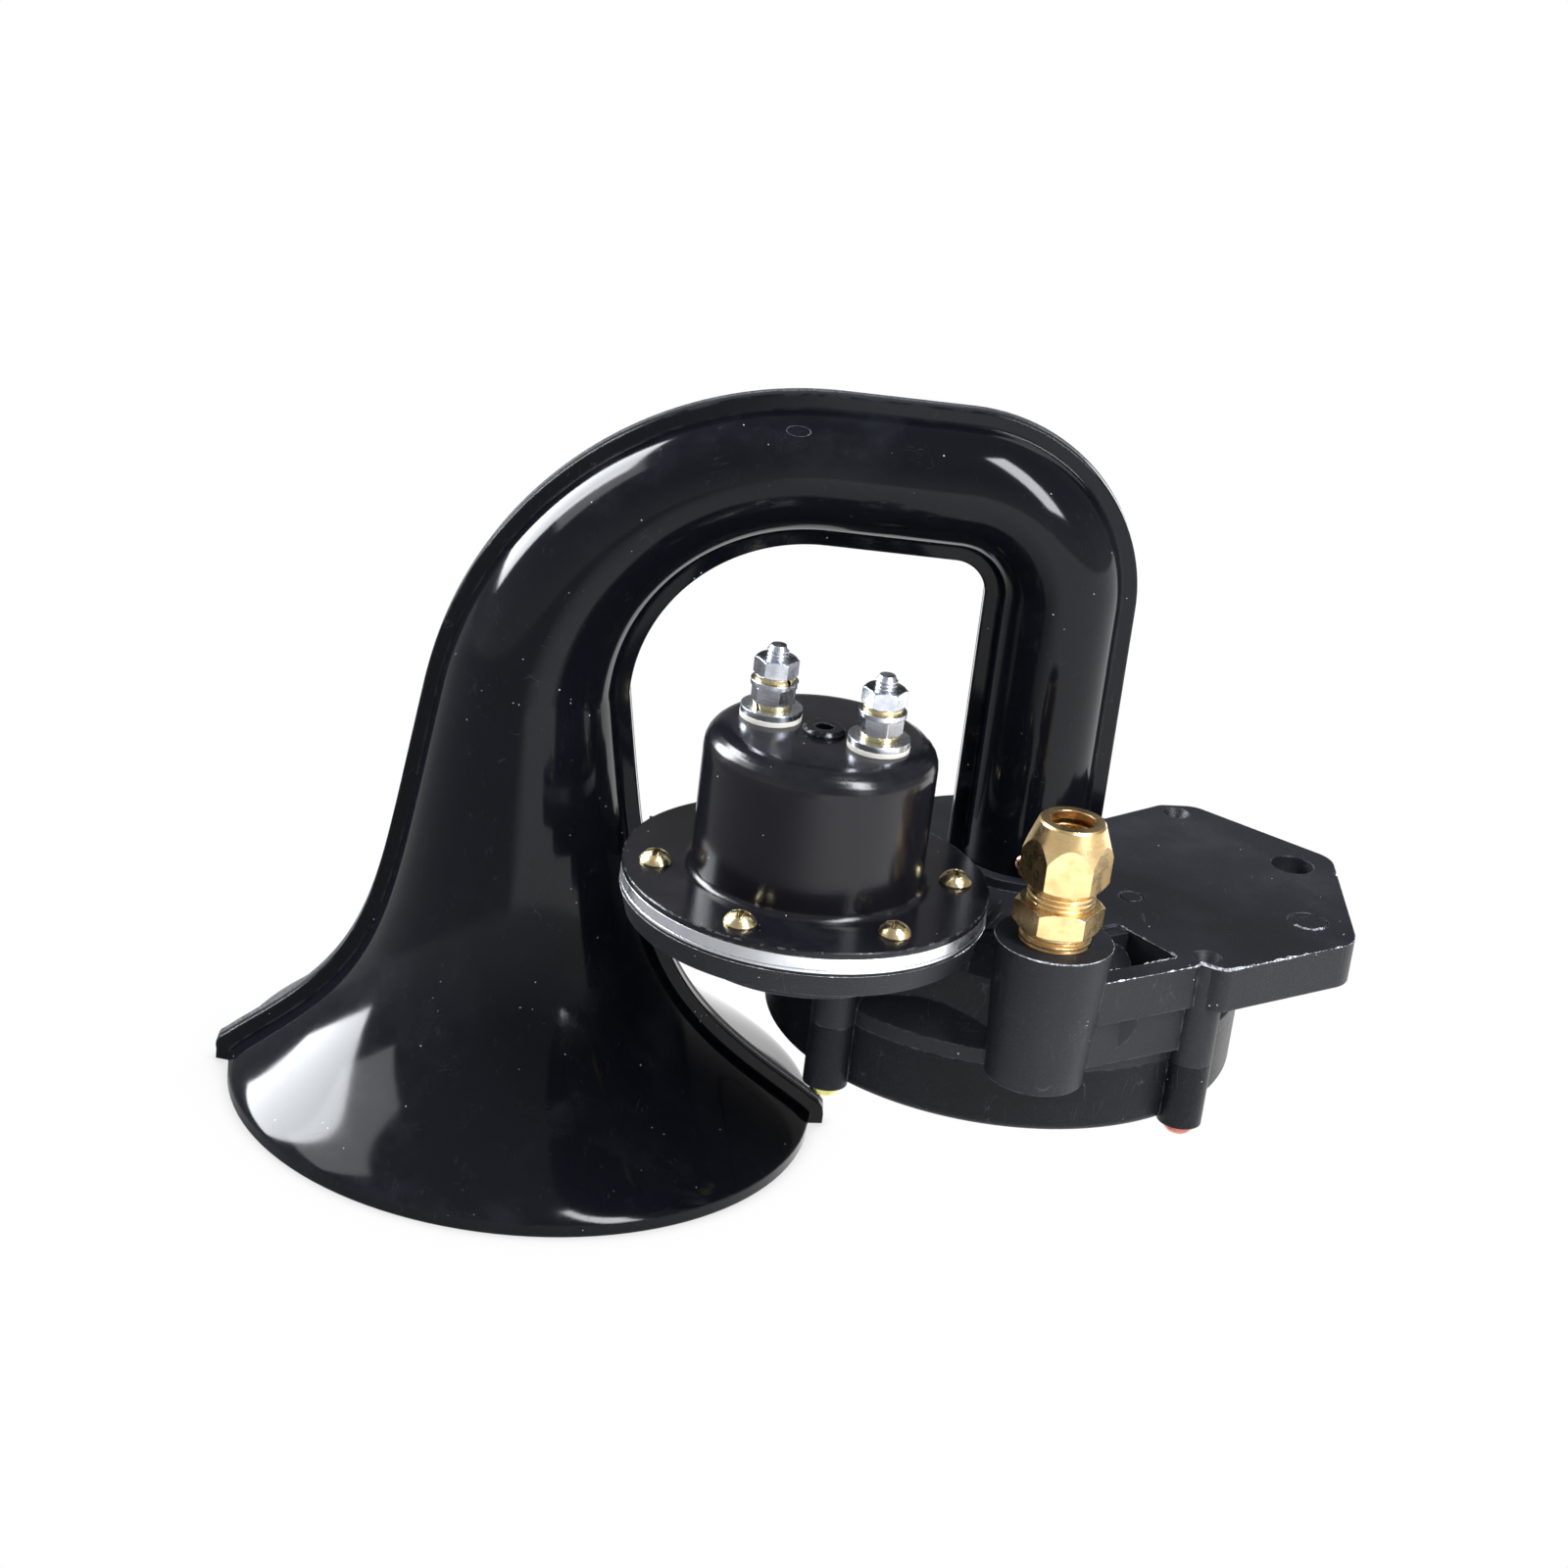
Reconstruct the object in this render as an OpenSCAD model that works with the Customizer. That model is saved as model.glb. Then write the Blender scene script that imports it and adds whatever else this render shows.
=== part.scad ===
// Compressed-air snail horn: a folded trumpet in two moulded halves, a moulded
// diaphragm head with its bracket plate, a solenoid valve and a brass inlet.
// Millimetres. The origin is the bracket hole's centre on the plate's top face,
// +Z points up along the trumpet's leg, and +X points away from the bell.

/* [Trumpet] */
// Outer radius of the bell's mouth
mouth_r = 57.2; // [50:0.2:62]
// Distance from the bracket plate's top face down to the mouth's rim
mouth_drop = 60.2; // [56:0.2:66]
// Height of the rim's straight band
rim_band = 2.5; // [1.5:0.5:4]
// Outer radius of the tube where the bell begins
neck_r = 16.4; // [14:0.2:18]
// Growth of the bell's radius per millimetre before it flares
bell_taper = 0.15; // [0.05:0.01:0.2]
// Length over which the bell flares out
flare_len = 16.8; // [12:0.2:22]
// Distance from the leg's axis to the neck's axis
neck_offset = 96.6; // [92:0.2:102]
// Shift of the mouth's centre from the neck's axis towards the leg
mouth_shift = 6.2; // [0:0.2:8]
// Outer radius of the leg at its foot
leg_r = 11.4; // [10.6:0.1:12]
// Outer radius of the tube over the arch
arch_r = 11.7; // [11:0.1:13]
// Height of the arch's centreline above the bracket plate
arch_rise = 74.3; // [68:0.1:82]
// Centreline radius of the tight bend above the leg
corner_bend_r = 20.3; // [18:0.1:24]
// Inner edge radius of the wide bend above the bell
neck_bend_r = 33.2; // [28:0.2:36]
// Wall of the trumpet
trumpet_wall = 2.2; // [1.6:0.1:2.8]
// Width of the seam flange outside the tube
seam_w = 2.7; // [2:0.1:3.6]
// Thickness of each half's seam flange
seam_t = 2; // [1.4:0.2:2.6]
// Depth of the leg's foot in the head's socket
foot_depth = 6; // [4:0.5:7]

/* [Bracket plate] */
// Distance in X from the drum's axis to the bracket hole
hole_dx = 54.5; // [50:0.5:58]
// Distance in Y from the drum's axis to the bracket hole
hole_dy = 13.5; // [10:0.5:15]
// Diameter of the bracket hole
bracket_hole_d = 8.4; // [6:0.1:9]
// Thickness of the plate
plate_t = 8.6; // [7:0.2:10]
// Distance from the bracket hole to the plate's straight outer edge
plate_margin = 8.5; // [7:0.5:12]
// Half of the plate's straight outer edge
plate_edge_half = 20; // [18:0.5:24]

/* [Drum] */
// Outer radius of the drum
drum_r = 45.4; // [44:0.1:45.6]
// Radius of the hub above the drum's shoulder
hub_r = 32; // [30:0.5:34]
// Depth of the parting plane below the plate's top face
parting_drop = 21; // [20:0.5:24]
// Height of the bottom cover
cover_h = 12.6; // [11:0.2:16]
// Height by which the screw columns stand below the cover
column_drop = 0.2; // [0.1:0.1:3]
// Thickness of the cover's floor
cover_floor_t = 2.2; // [1.6:0.2:3]
// Distance of each cover screw from the drum's axis in X and Y
screw_half = 33.3; // [33:0.1:35]
// Radius of the screw columns
column_r = 4.2; // [3.8:0.1:4.8]
// Radius of the diaphragm
diaphragm_r = 41.6; // [40:0.1:42]
// Thickness of the diaphragm
diaphragm_t = 0.4; // [0.2:0.1:0.6]
// Thickness of the diaphragm's gasket
gasket_t = 0.6; // [0.4:0.1:0.8]
// Height of the ring that presses on the diaphragm
press_ring_h = 2.2; // [1.8:0.1:2.6]
// Inner radius of the gasket, the ring and the ledges that hold them
clamp_r = 36.5; // [35:0.5:37.5]
// Bore radius of the nozzle at the diaphragm
nozzle_bore_r = 6.5; // [5:0.5:7]
// Shank diameter of the cover screws
cover_screw_d = 3.4; // [3:0.1:3.8]
// Head diameter of the cover screws
cover_screw_head_d = 6.8; // [6:0.1:7.6]
// Height of the cover screws' heads
cover_screw_head_h = 2.8; // [2:0.1:3]

/* [Solenoid valve] */
// Distance in X from the drum's axis to the valve's axis
valve_dx = 42; // [40:0.5:44]
// Distance in Y from the drum's axis to the valve's axis
valve_dy = 40; // [38:0.5:42]
// Radius of the valve's flanges
flange_r = 33.2; // [32:0.2:34.4]
// Height of the moulded seat's underside above the bracket plate
seat_rise = 2.3; // [1:0.1:3]
// Thickness of the moulded seat
seat_t = 4.4; // [4:0.1:5.5]
// Draft of the valve seat's edge, as the amount its lower radius is less than the upper one
seat_draft = 1.2; // [0:0.1:1.6]
// Thickness of the flange gasket
valve_gasket_t = 0.5; // [0.4:0.1:1]
// Thickness of the zinc-plated base plate
base_plate_t = 2.8; // [2:0.1:3.5]
// Wall of the pressed cap
cap_wall = 1.2; // [0.8:0.1:1.6]
// Outer radius of the cap's can
cap_r = 21; // [20.6:0.1:22]
// Height of the can above the base plate
cap_h = 28.6; // [28:0.2:33]
// Radius of the can's top edge
cap_edge_r = 4.4; // [2.4:0.2:5]
// Radius of the circle of flange screws
flange_pcd_r = 27.2; // [26.6:0.1:28]
// Number of flange screws
flange_screws_n = 6; // [4:1:8]
// Shank diameter of the flange screws
flange_screw_d = 3.3; // [2.8:0.1:3.6]
// Head diameter of the flange screws
flange_screw_head_d = 6.2; // [5.6:0.1:6.8]
// Radius of the valve's moulded chamber
chamber_r = 23.5; // [22:0.5:25]
// Diameter of the plunger
plunger_d = 9; // [8:0.1:10]
// Travel of the plunger
plunger_travel = 2; // [1:0.1:2.4]
// Wire diameter of the return spring
spring_wire_d = 0.55; // [0.4:0.05:0.7]
// Mean radius of the return spring
spring_mean_r = 2.5; // [2.2:0.1:2.7]
// Number of turns of the return spring
spring_turns = 6; // [4:1:7]

/* [Terminals] */
// Distance from the valve's axis to each stud
stud_pitch_r = 10.6; // [10:0.1:11.4]
// Angle of the line through both studs
stud_angle = -25; // [-40:1:-10]
// Diameter of the studs
stud_d = 3.9; // [3.4:0.1:4]
// Height of the studs above the cap
stud_rise = 13.7; // [12:0.1:15]
// Width of the terminal nuts across their flats
terminal_nut_af = 7; // [6.6:0.1:7.4]
// Height of the terminal nuts
terminal_nut_h = 3.2; // [2.6:0.1:3.4]

/* [Air inlet] */
// Distance in X from the drum's axis to the inlet's axis
inlet_dx = 3.4; // [3:0.2:7]
// Distance in Y from the drum's axis to the inlet's axis
inlet_dy = 46.6; // [45:0.2:48]
// Height of the inlet boss above the bracket plate
inlet_rise = 6.5; // [5:0.5:9]
// Radius of the inlet boss at its top
inlet_boss_r = 10.8; // [10.4:0.1:11.6]
// Diameter of the fitting's pipe thread
pipe_thread_d = 13.1; // [12.6:0.1:13.6]
// Width of both hexagons across their flats
fitting_af = 14.2; // [13.6:0.1:15]
// Diameter of the fitting's upper thread
nut_thread_d = 12.4; // [12:0.1:12.8]
// Diameter of the air line that the nut takes
air_line_d = 8; // [6:0.1:8.4]
// Height of the compression nut
nut_h = 12; // [11:0.5:14]
// Length that the nut has to turn down before it is tight
nut_travel = 3.3; // [2:0.1:3.4]

/* [Hidden] */
$fn = 72;

// Clearances
seat_gap = 0.3;
slip_gap = 0.1;
thread_gap = 0.05;
cut = 1;

// Heights, counted from the plate's top face
parting_z = -parting_drop;
cover_z = parting_z - cover_h;
mouth_z = -mouth_drop;
shoulder_low_z = parting_z + 3;
shoulder_r = 37;
hub_roof_z = -6.5;
gasket_z = parting_z + gasket_t + diaphragm_t + 0.6;
diaphragm_z = gasket_z - gasket_t - diaphragm_t;
press_ring_z = diaphragm_z - press_ring_h;

// Places, counted from the bracket hole
drum_at = [-hole_dx, -hole_dy, 0];
valve_at = drum_at + [-valve_dx, -valve_dy, 0];
inlet_at = drum_at + [inlet_dx, -inlet_dy, 0];
corners = [for (sx = [-1, 1], sy = [-1, 1]) [sx, sy] * screw_half];

// Geometry helpers

function unit(v) = v / norm(v);

// Arc that rounds the corner b between a and c
function corner_arc(a, b, c, r, n = 6) =
    r == 0 ? [b] :
    let (u = unit(a - b), v = unit(c - b), half = acos(u * v) / 2,
        mid = b + unit(u + v) * r / sin(half),
        p = b + u * r / tan(half) - mid, q = b + v * r / tan(half) - mid,
        start = atan2(p[1], p[0]),
        turn = (atan2(q[1], q[0]) - start + 540) % 360 - 180)
    [for (i = [0:n]) mid + r * [cos(start + turn * i / n), sin(start + turn * i / n)]];

// Outline through points of the form [x, y, corner radius]
function rounded(pts) =
    let (k = len(pts), xy = [for (p = pts) [p[0], p[1]]])
    [for (i = [0:k - 1])
        each corner_arc(xy[(i + k - 1) % k], xy[i], xy[(i + 1) % k], pts[i][2])];

// Closed sweep of equal rings of points, with the triangles that close one ring
module skin(rings, cap) {
    n = len(rings[0]);
    last = len(rings) - 1;
    sides = [for (i = [0:last - 1], j = [0:n - 1]) let (k = (j + 1) % n)
        each [[i * n + j, i * n + k, (i + 1) * n + k],
            [i * n + j, (i + 1) * n + k, (i + 1) * n + j]]];
    ends = [for (t = cap) each [[t[2], t[1], t[0]], [for (j = t) last * n + j]]];
    polyhedron([for (ring = rings) each ring], concat(sides, ends), convexity = 10);
}

module ring(r_out, r_in, h) {
    difference() {
        cylinder(r = r_out, h = h);
        translate([0, 0, -cut]) cylinder(r = r_in, h = h + 2 * cut);
    }
}

module hexagon(af, h, chamfer_low, chamfer_high) {
    corner_r = af / sqrt(3);
    intersection() {
        cylinder(r = corner_r, h = h, $fn = 6);
        union() {
            cylinder(r1 = corner_r - chamfer_low, r2 = corner_r, h = chamfer_low * 0.6);
            translate([0, 0, chamfer_low * 0.6])
                cylinder(r = corner_r, h = h - (chamfer_low + chamfer_high) * 0.6);
            translate([0, 0, h - chamfer_high * 0.6])
                cylinder(r1 = corner_r, r2 = corner_r - chamfer_high, h = chamfer_high * 0.6);
        }
    }
}

// Stack of ridges that stands for a thread of radius r
module thread(r, h, pitch) {
    turns = floor(h / pitch);
    step = h / turns;
    depth = 0.45 * step;
    rotate_extrude()
        polygon(concat([[0, 0]],
            [for (i = [0:turns - 1]) each [[r - depth, i * step], [r, (i + 0.35) * step],
                [r, (i + 0.65) * step]]],
            [[r - depth, h], [0, h]]));
}

// Pan head with a cross recess, on a shank that hangs below z = 0
module pan_screw(shank_d, shank_l, head_d, head_h) {
    slot_w = head_d * 0.16;
    slot_l = head_d * 0.56;
    dome_r = (head_d * head_d / 4 + head_h * head_h) / (2 * head_h);
    difference() {
        intersection() {
            translate([0, 0, head_h - dome_r]) sphere(r = dome_r);
            cylinder(d = head_d - 0.2, h = head_h);
        }
        for (a = [0, 90])
            rotate([0, 0, a]) translate([-slot_l / 2, -slot_w / 2, head_h * 0.45])
                cube([slot_l, slot_w, head_h]);
    }
    translate([0, 0, -shank_l]) cylinder(d = shank_d, h = shank_l);
}

// Spring washer with its sloping split
module split_ring(r_out, r_in, h) {
    difference() {
        ring(r_out, r_in, h);
        translate([0, 0, h / 2]) rotate([30, 0, 0]) translate([0, -0.3, -h * 2])
            cube([r_out + cut, 0.6, h * 4]);
    }
}

module at_studs() {
    for (a = [stud_angle, stud_angle + 180])
        translate(valve_at + stud_pitch_r * [cos(a), sin(a), 0]) rotate([0, 0, a]) children();
}

// Trumpet

bell_top_z = arch_rise - arch_r - seam_w - neck_bend_r;
bell_h = bell_top_z - mouth_z - rim_band;
seam_ear_z = 3.2;
shift_len = 32;
flare_power = 1.3;
half_segments = 20;

// Outer radius of the bell at height s above the rim's band
function bell_r(s) =
    neck_r + bell_taper * (bell_h - s)
    + (mouth_r - neck_r - bell_taper * bell_h) * exp(-pow(max(s, 0) / flare_len, flare_power));

function bell_slope(s) = (bell_r(s - 0.25) - bell_r(s + 0.25)) / 0.5;

function bell_x(s) =
    -neck_offset + mouth_shift * (exp(-max(s, 0) / shift_len) - exp(-bell_h / shift_len));

// Reach of the seam flange from the bell's axis, with its round ear at the rim
function seam_reach(s) =
    let (plain = bell_r(s) + seam_w * sqrt(1 + pow(bell_slope(s), 2)),
        off = s + rim_band - seam_ear_z, room = seam_w * seam_w - off * off,
        ear = room > 0 ? mouth_r + sqrt(room) : 0)
    off < -seam_w + 0.01 ? mouth_r : max(min(plain, mouth_r + seam_w), ear);

// One section: centre, direction to the outer edge, outer radius, inner radius, reach
function section(mid, dir, r, wall_r, reach) = [mid, dir, r, wall_r, reach];

function seam_flat(r) = sqrt(r * r - seam_t * seam_t);

corner_z = arch_rise - corner_bend_r;
collar_h = 2;
leg_sections = [for (p = [[-foot_depth, 0], [collar_h + seat_gap, 0],
        [collar_h + seat_gap + 0.5, 1], [corner_z / 3, 1], [corner_z * 2 / 3, 1]])
    section([0, p[0]], [1, 0], leg_r, leg_r - trumpet_wall,
        p[1] == 0 ? leg_r : leg_r + seam_w)];
corner_sections = [for (i = [0:10]) let (a = i * 9, r = leg_r + (arch_r - leg_r) * i / 10)
    section([-corner_bend_r, corner_z] + corner_bend_r * [cos(a), sin(a)], [cos(a), sin(a)],
        r, r - trumpet_wall, r + seam_w)];
bend_x = -neck_offset + neck_r + seam_w + neck_bend_r;
arch_sections = [for (k = [1, 2])
    section([-corner_bend_r + (bend_x + corner_bend_r) * k / 3, arch_rise], [0, 1],
        arch_r, arch_r - trumpet_wall, arch_r + seam_w)];
bend_steps = 16;
bend_sections = [for (i = [0:bend_steps])
    let (a = 90 + 90 * i / bend_steps, r = arch_r + (neck_r - arch_r) * pow(i / bend_steps, 2))
    section([bend_x, bell_top_z] + (neck_bend_r + seam_w + r) * [cos(a), sin(a)],
        [cos(a), sin(a)], r, r - trumpet_wall, r + seam_w)];
bell_steps = 25;
bell_sections = concat(
    [for (i = [1:bell_steps]) let (s = bell_h * pow(1 - i / bell_steps, 1.5))
        section([bell_x(s), mouth_z + rim_band + s], [-1, 0], bell_r(s),
            bell_r(s) - trumpet_wall * sqrt(1 + pow(bell_slope(s), 2)), seam_reach(s))],
    [for (low = [0.25, 0.6, 0.85, 1]) let (s = -rim_band * low)
        section([bell_x(0), mouth_z + rim_band + s], [-1, 0], mouth_r,
            mouth_r - trumpet_wall * 1.8, seam_reach(s))]);
trumpet_sections = concat(leg_sections, corner_sections, arch_sections, bend_sections,
    bell_sections);

// Ring of points of one half on the side given by sign
function half_ring(c, sign) =
    let (r = c[2], q = c[3], reach = max(c[4], seam_flat(r)), a0 = asin(seam_t / r),
        flat = concat(
            [[reach, 0], [reach, seam_t]],
            [for (i = [0:half_segments]) let (a = a0 + (180 - 2 * a0) * i / half_segments)
                [r * cos(a), r * sin(a)]],
            [[-reach, seam_t], [-reach, 0]],
            [for (i = [half_segments:-1:0]) let (a = 180 * i / half_segments)
                [q * cos(a), q * sin(a)]]))
    [for (p = flat) [c[0][0] + p[0] * c[1][0], sign * p[1], c[0][1] + p[0] * c[1][1]]];

// Triangles between the outer chain of a half ring and its inner chain
half_ring_cap = let (top = 2 * half_segments + 5,
    inner = function (j) top - min(max(j - 2, 0), half_segments))
    [for (j = [0:half_segments + 3])
        each concat([[j, j + 1, inner(j)]],
            inner(j + 1) == inner(j) ? [] : [[j + 1, inner(j + 1), inner(j)]])];

module trumpet_half(sign) {
    rings = [for (c = trumpet_sections) half_ring(c, sign)];
    flip = sign < 0 ? rings : [for (i = [len(rings) - 1:-1:0]) rings[i]];
    translate(drum_at) skin(flip, half_ring_cap);
}

module trumpet_front_half() {
    color("#17191e") difference() {
        trumpet_half(-1);
        translate(drum_at) leg_screw_hole();
    }
}

module trumpet_back_half() {
    color("#17191e") trumpet_half(1);
}

// Head

socket_r = leg_r + seat_gap;
collar_r = leg_r + 2.9;
nozzle_r = leg_r - trumpet_wall - slip_gap;
nozzle_flange_z = -foot_depth - seat_gap - 1.6;
nozzle_boss_r = 14;
nozzle_boss_z = -14;
recess_r = diaphragm_r + seat_gap;
cover_screw_tip_z = parting_z + 7;
cover_screw_hole_r = cover_screw_d / 2 + thread_gap;
seat_top_z = seat_rise + seat_t;
chamber_floor_z = -1.5;
chamber_bore_r = chamber_r - 3.5;
chamber_low_z = -3.5;
arm_low_z = -10;
duct_r = 2.5;
duct_z = -6.5;
valve_dir = atan2(valve_dy, valve_dx);
valve_dist = norm([valve_dx, valve_dy]);
flange_turn = 5.4;
dimple_depth = 3;
dimple_r = 2.7;

module plate_outline() {
    edge_x = hole_dx + plate_margin;
    difference() {
        union() {
            circle(r = hub_r);
            polygon(rounded([[edge_x, -plate_edge_half, 7], [edge_x, plate_edge_half - 1.2, 6],
                [screw_half + 4, screw_half + 4.4, 4.5], [screw_half - 3, screw_half + 3.2, 3],
                [hub_r * 0.55, hub_r * 0.8, 0], [0, 0, 0], [hub_r * 0.6, -hub_r * 0.75, 0],
                [screw_half - 4, -screw_half - 2, 2], [screw_half + 3, -screw_half - 5.4, 3]]));
            polygon(rounded([[0, -inlet_dy, 0], [inlet_dx + 9.5, -inlet_dy - 3.2, 1],
                [screw_half - 2, -screw_half - 4.4, 2], [screw_half, -screw_half, 0],
                [hub_r * 0.5, -hub_r * 0.5, 0], [0, 0, 0]]));
        }
        translate([hole_dx, hole_dy]) circle(d = bracket_hole_d);
        translate([edge_x + 0.3, plate_edge_half - 8.7]) circle(r = 1);
    }
}

// Three-cornered recess beside the inlet boss
module pocket_outline() {
    polygon(rounded([[inlet_dx + 10.2, -inlet_dy + 2.3, 0.5], [screw_half - 5.4, 1.6 - inlet_dy + 10, 0.5],
        [screw_half - 16, -hub_r + 9, 1], [inlet_dx - 1, -hub_r - 3, 1]]));
}

// Straight front edge of the plate between the inlet boss and the front column
function front_edge(inset) =
    [for (p = [[inlet_dx + 9.5, -inlet_dy - 3.2], [screw_half - 2, -screw_half - 4.4]])
        p + inset * [-0.58, 0.81]];

module column(c, high_z) {
    translate([c[0], c[1], parting_z]) cylinder(r = column_r, h = high_z - parting_z);
    rotate([0, 0, atan2(c[1], c[0])])
        translate([drum_r - 3, -column_r * 0.8, parting_z + 0.3])
            cube([column_r, column_r * 1.6, high_z - parting_z - 0.8]);
}

module head_walls() {
    rotate_extrude()
        polygon([[0, parting_z], [drum_r, parting_z], [drum_r, shoulder_low_z],
            [shoulder_r, 0.5 - plate_t], [hub_r, 0.5 - plate_t], [hub_r, -cut / 2], [0, -cut / 2]]);
    difference() {
        union() {
            translate([0, 0, -plate_t]) linear_extrude(plate_t) plate_outline();
            translate([0, 0, shoulder_low_z])
                linear_extrude(-shoulder_low_z - plate_t + cut) polygon(concat(front_edge(1.6),
                    [[screw_half, 4 - screw_half], [hub_r * 0.5, -hub_r * 0.5],
                    [inlet_dx, 8 - inlet_dy]]));
        }
        translate([0, 0, -pocket_depth]) linear_extrude(pocket_depth + cut) pocket_outline();
    }
    cylinder(r = collar_r, h = collar_h);
    for (c = corners) column(c, c[0] > 0 ? -cut / 2 : cover_screw_tip_z + 2.5);
}

module valve_seat_walls() {
    translate([-valve_dx, -valve_dy, 0]) {
        translate([0, 0, seat_rise]) cylinder(r1 = flange_r - seat_draft, r2 = flange_r, h = seat_t);
        translate([0, 0, chamber_low_z])
            cylinder(r1 = chamber_r - 2, r2 = chamber_r, h = seat_rise - chamber_low_z + cut / 2);
    }
    rotate([0, 0, valve_dir]) translate([-valve_dist, -10, arm_low_z])
        cube([valve_dist - nozzle_boss_r, 20, -arm_low_z - 0.6]);
}

// Inlet boss, the rounded core beside it and the sloping web over the inlet duct
module inlet_walls() {
    translate([inlet_dx, -inlet_dy, parting_z + 0.15])
        cylinder(r1 = inlet_boss_r - 1.8, r2 = inlet_boss_r, h = inlet_rise - parting_z - 0.15);
    translate([inlet_dx + 10, -inlet_dy + 2, -9]) rotate([-90, 0, 0]) cylinder(r = 7.6, h = 22);
    rotate([0, 0, web_turn]) for (part = [[-17, 12.5, -1], [-5, 19, seat_rise + 0.3]])
        translate([part[0], 0, 0]) rotate([90, 0, 90]) linear_extrude(part[1])
            polygon([[24, shoulder_low_z - 0.7], [web_out, shoulder_low_z - 0.7],
                [web_out - 2.4, -6], [web_out - 5.5, part[2]], [24, part[2]]]);
}

// Arm that carries the bell's neck at the inner edge of its seam
module neck_stay() {
    level = -3.3;
    s = level - mouth_z - rim_band;
    end_x = bell_x(s) + seam_reach(s) + seat_gap + 0.4;
    translate([end_x, -3.5, -6]) cube([-hub_r + 2 - end_x, 7, 5.7]);
}

module head_cavities() {
    rotate_extrude()
        polygon([[0, parting_z - cut], [recess_r, parting_z - cut], [recess_r, gasket_z],
            [clamp_r, gasket_z], [clamp_r, gasket_z + 3], [hub_r - 4, hub_roof_z],
            [nozzle_boss_r, hub_roof_z], [nozzle_boss_r, nozzle_boss_z], [0, nozzle_boss_z]]);
    translate([0, 0, nozzle_flange_z]) cylinder(r = socket_r, h = foot_depth * 3);
    translate([0, 0, nozzle_boss_z - cut])
        cylinder(r = nozzle_r + thread_gap, h = nozzle_flange_z - nozzle_boss_z + 2 * cut);
    for (c = corners) {
        translate([c[0], c[1], parting_z - cut])
            cylinder(r = cover_screw_hole_r, h = cover_screw_tip_z - parting_z + cut + 0.5);
        if (c[0] > 0)
            translate([c[0], c[1], -dimple_depth])
                cylinder(r1 = 0.9, r2 = dimple_r, h = dimple_depth + cut / 100);
    }
    for (mark = [[hole_dx, -hole_dy + 1, 3.9], [screw_half - 12.3, -10, 2.4]])
        translate([mark[0], mark[1], -0.25]) ring(mark[2], mark[2] - 0.4, cut);
}

module valve_cavities() {
    translate([-valve_dx, -valve_dy, 0]) {
        translate([0, 0, chamber_floor_z]) cylinder(r = chamber_bore_r, h = 20);
        translate([0, 0, duct_z]) cylinder(r = seat_insert_r + thread_gap, h = 10);
        for (i = [0:flange_screws_n - 1])
            rotate([0, 0, flange_turn + i * 360 / flange_screws_n])
                translate([flange_pcd_r, 0, seat_top_z - flange_screw_grip])
                    cylinder(d = flange_screw_d + 2 * thread_gap, h = flange_screw_grip + cut);
    }
    rotate([0, 0, valve_dir]) translate([-valve_dist, 0, duct_z]) rotate([0, 90, 0])
        cylinder(r = duct_r, h = valve_dist - hub_r + 6);
    translate([inlet_dx, -inlet_dy, pipe_floor_z])
        cylinder(d = pipe_thread_d + 2 * thread_gap, h = inlet_rise - pipe_floor_z + cut);
    rotate([0, 0, web_turn]) translate([-22.3, web_out - 7.5, inlet_duct_z])
        rotate([0, 90 - inlet_duct_climb, 0]) cylinder(r = inlet_duct_r, h = 42);
}

pipe_floor_z = -7;
inlet_duct_z = -6.8;
inlet_duct_climb = 9.3;
inlet_duct_r = 1.9;
web_turn = 157.5;
web_out = 42;
pocket_depth = 13;
seat_insert_r = 3.2;
flange_screw_grip = 3.6;

module head_body() {
    color("#26272b") translate(drum_at) difference() {
        union() {
            head_walls();
            valve_seat_walls();
            inlet_walls();
            neck_stay();
        }
        head_cavities();
        valve_cavities();
    }
}

module bottom_cover() {
    foot_r = 1.6;
    color("#232428") translate(drum_at) difference() {
        union() {
            rotate_extrude()
                polygon(concat([[0, cover_z]],
                    corner_arc([0, cover_z], [drum_r, cover_z], [drum_r, parting_z], foot_r),
                    [[drum_r, parting_z], [recess_r, parting_z], [recess_r, press_ring_z],
                    [clamp_r, press_ring_z], [clamp_r, cover_z + cover_floor_t],
                    [0, cover_z + cover_floor_t]]));
            for (c = corners) {
                translate([c[0], c[1], cover_z - column_drop])
                    cylinder(r = column_r, h = cover_h + column_drop);
                rotate([0, 0, atan2(c[1], c[0])])
                    translate([drum_r - 2, -column_r * 0.8, cover_z + foot_r + 0.4])
                        cube([column_r * 0.8, column_r * 1.6, cover_h - foot_r - 0.7]);
            }
        }
        for (c = corners)
            translate([c[0], c[1], cover_z - column_drop - cut])
                cylinder(r = cover_screw_hole_r, h = cover_h + column_drop + 2 * cut);
        translate([0, 0, cover_z - cut]) ring(drum_r - 12, drum_r - 13, cut + 0.5);
    }
}

module cover_screws() {
    color("#b9a36a") translate(drum_at)
        for (c = corners)
            translate([c[0], c[1], cover_z - column_drop]) rotate([180, 0, 20 * sign(c[1])])
                pan_screw(cover_screw_d, cover_screw_tip_z - cover_z + column_drop,
                    cover_screw_head_d, cover_screw_head_h);
}

module diaphragm() {
    color("#b8bcc0") translate(drum_at + [0, 0, diaphragm_z])
        cylinder(r = diaphragm_r, h = diaphragm_t);
}

module diaphragm_gasket() {
    color("#3a3a3a") translate(drum_at + [0, 0, gasket_z - gasket_t])
        ring(diaphragm_r, clamp_r + 0.2, gasket_t);
}

module press_ring() {
    color("#2a2a2a") translate(drum_at + [0, 0, press_ring_z])
        ring(diaphragm_r, clamp_r + 0.2, press_ring_h);
}

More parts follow.
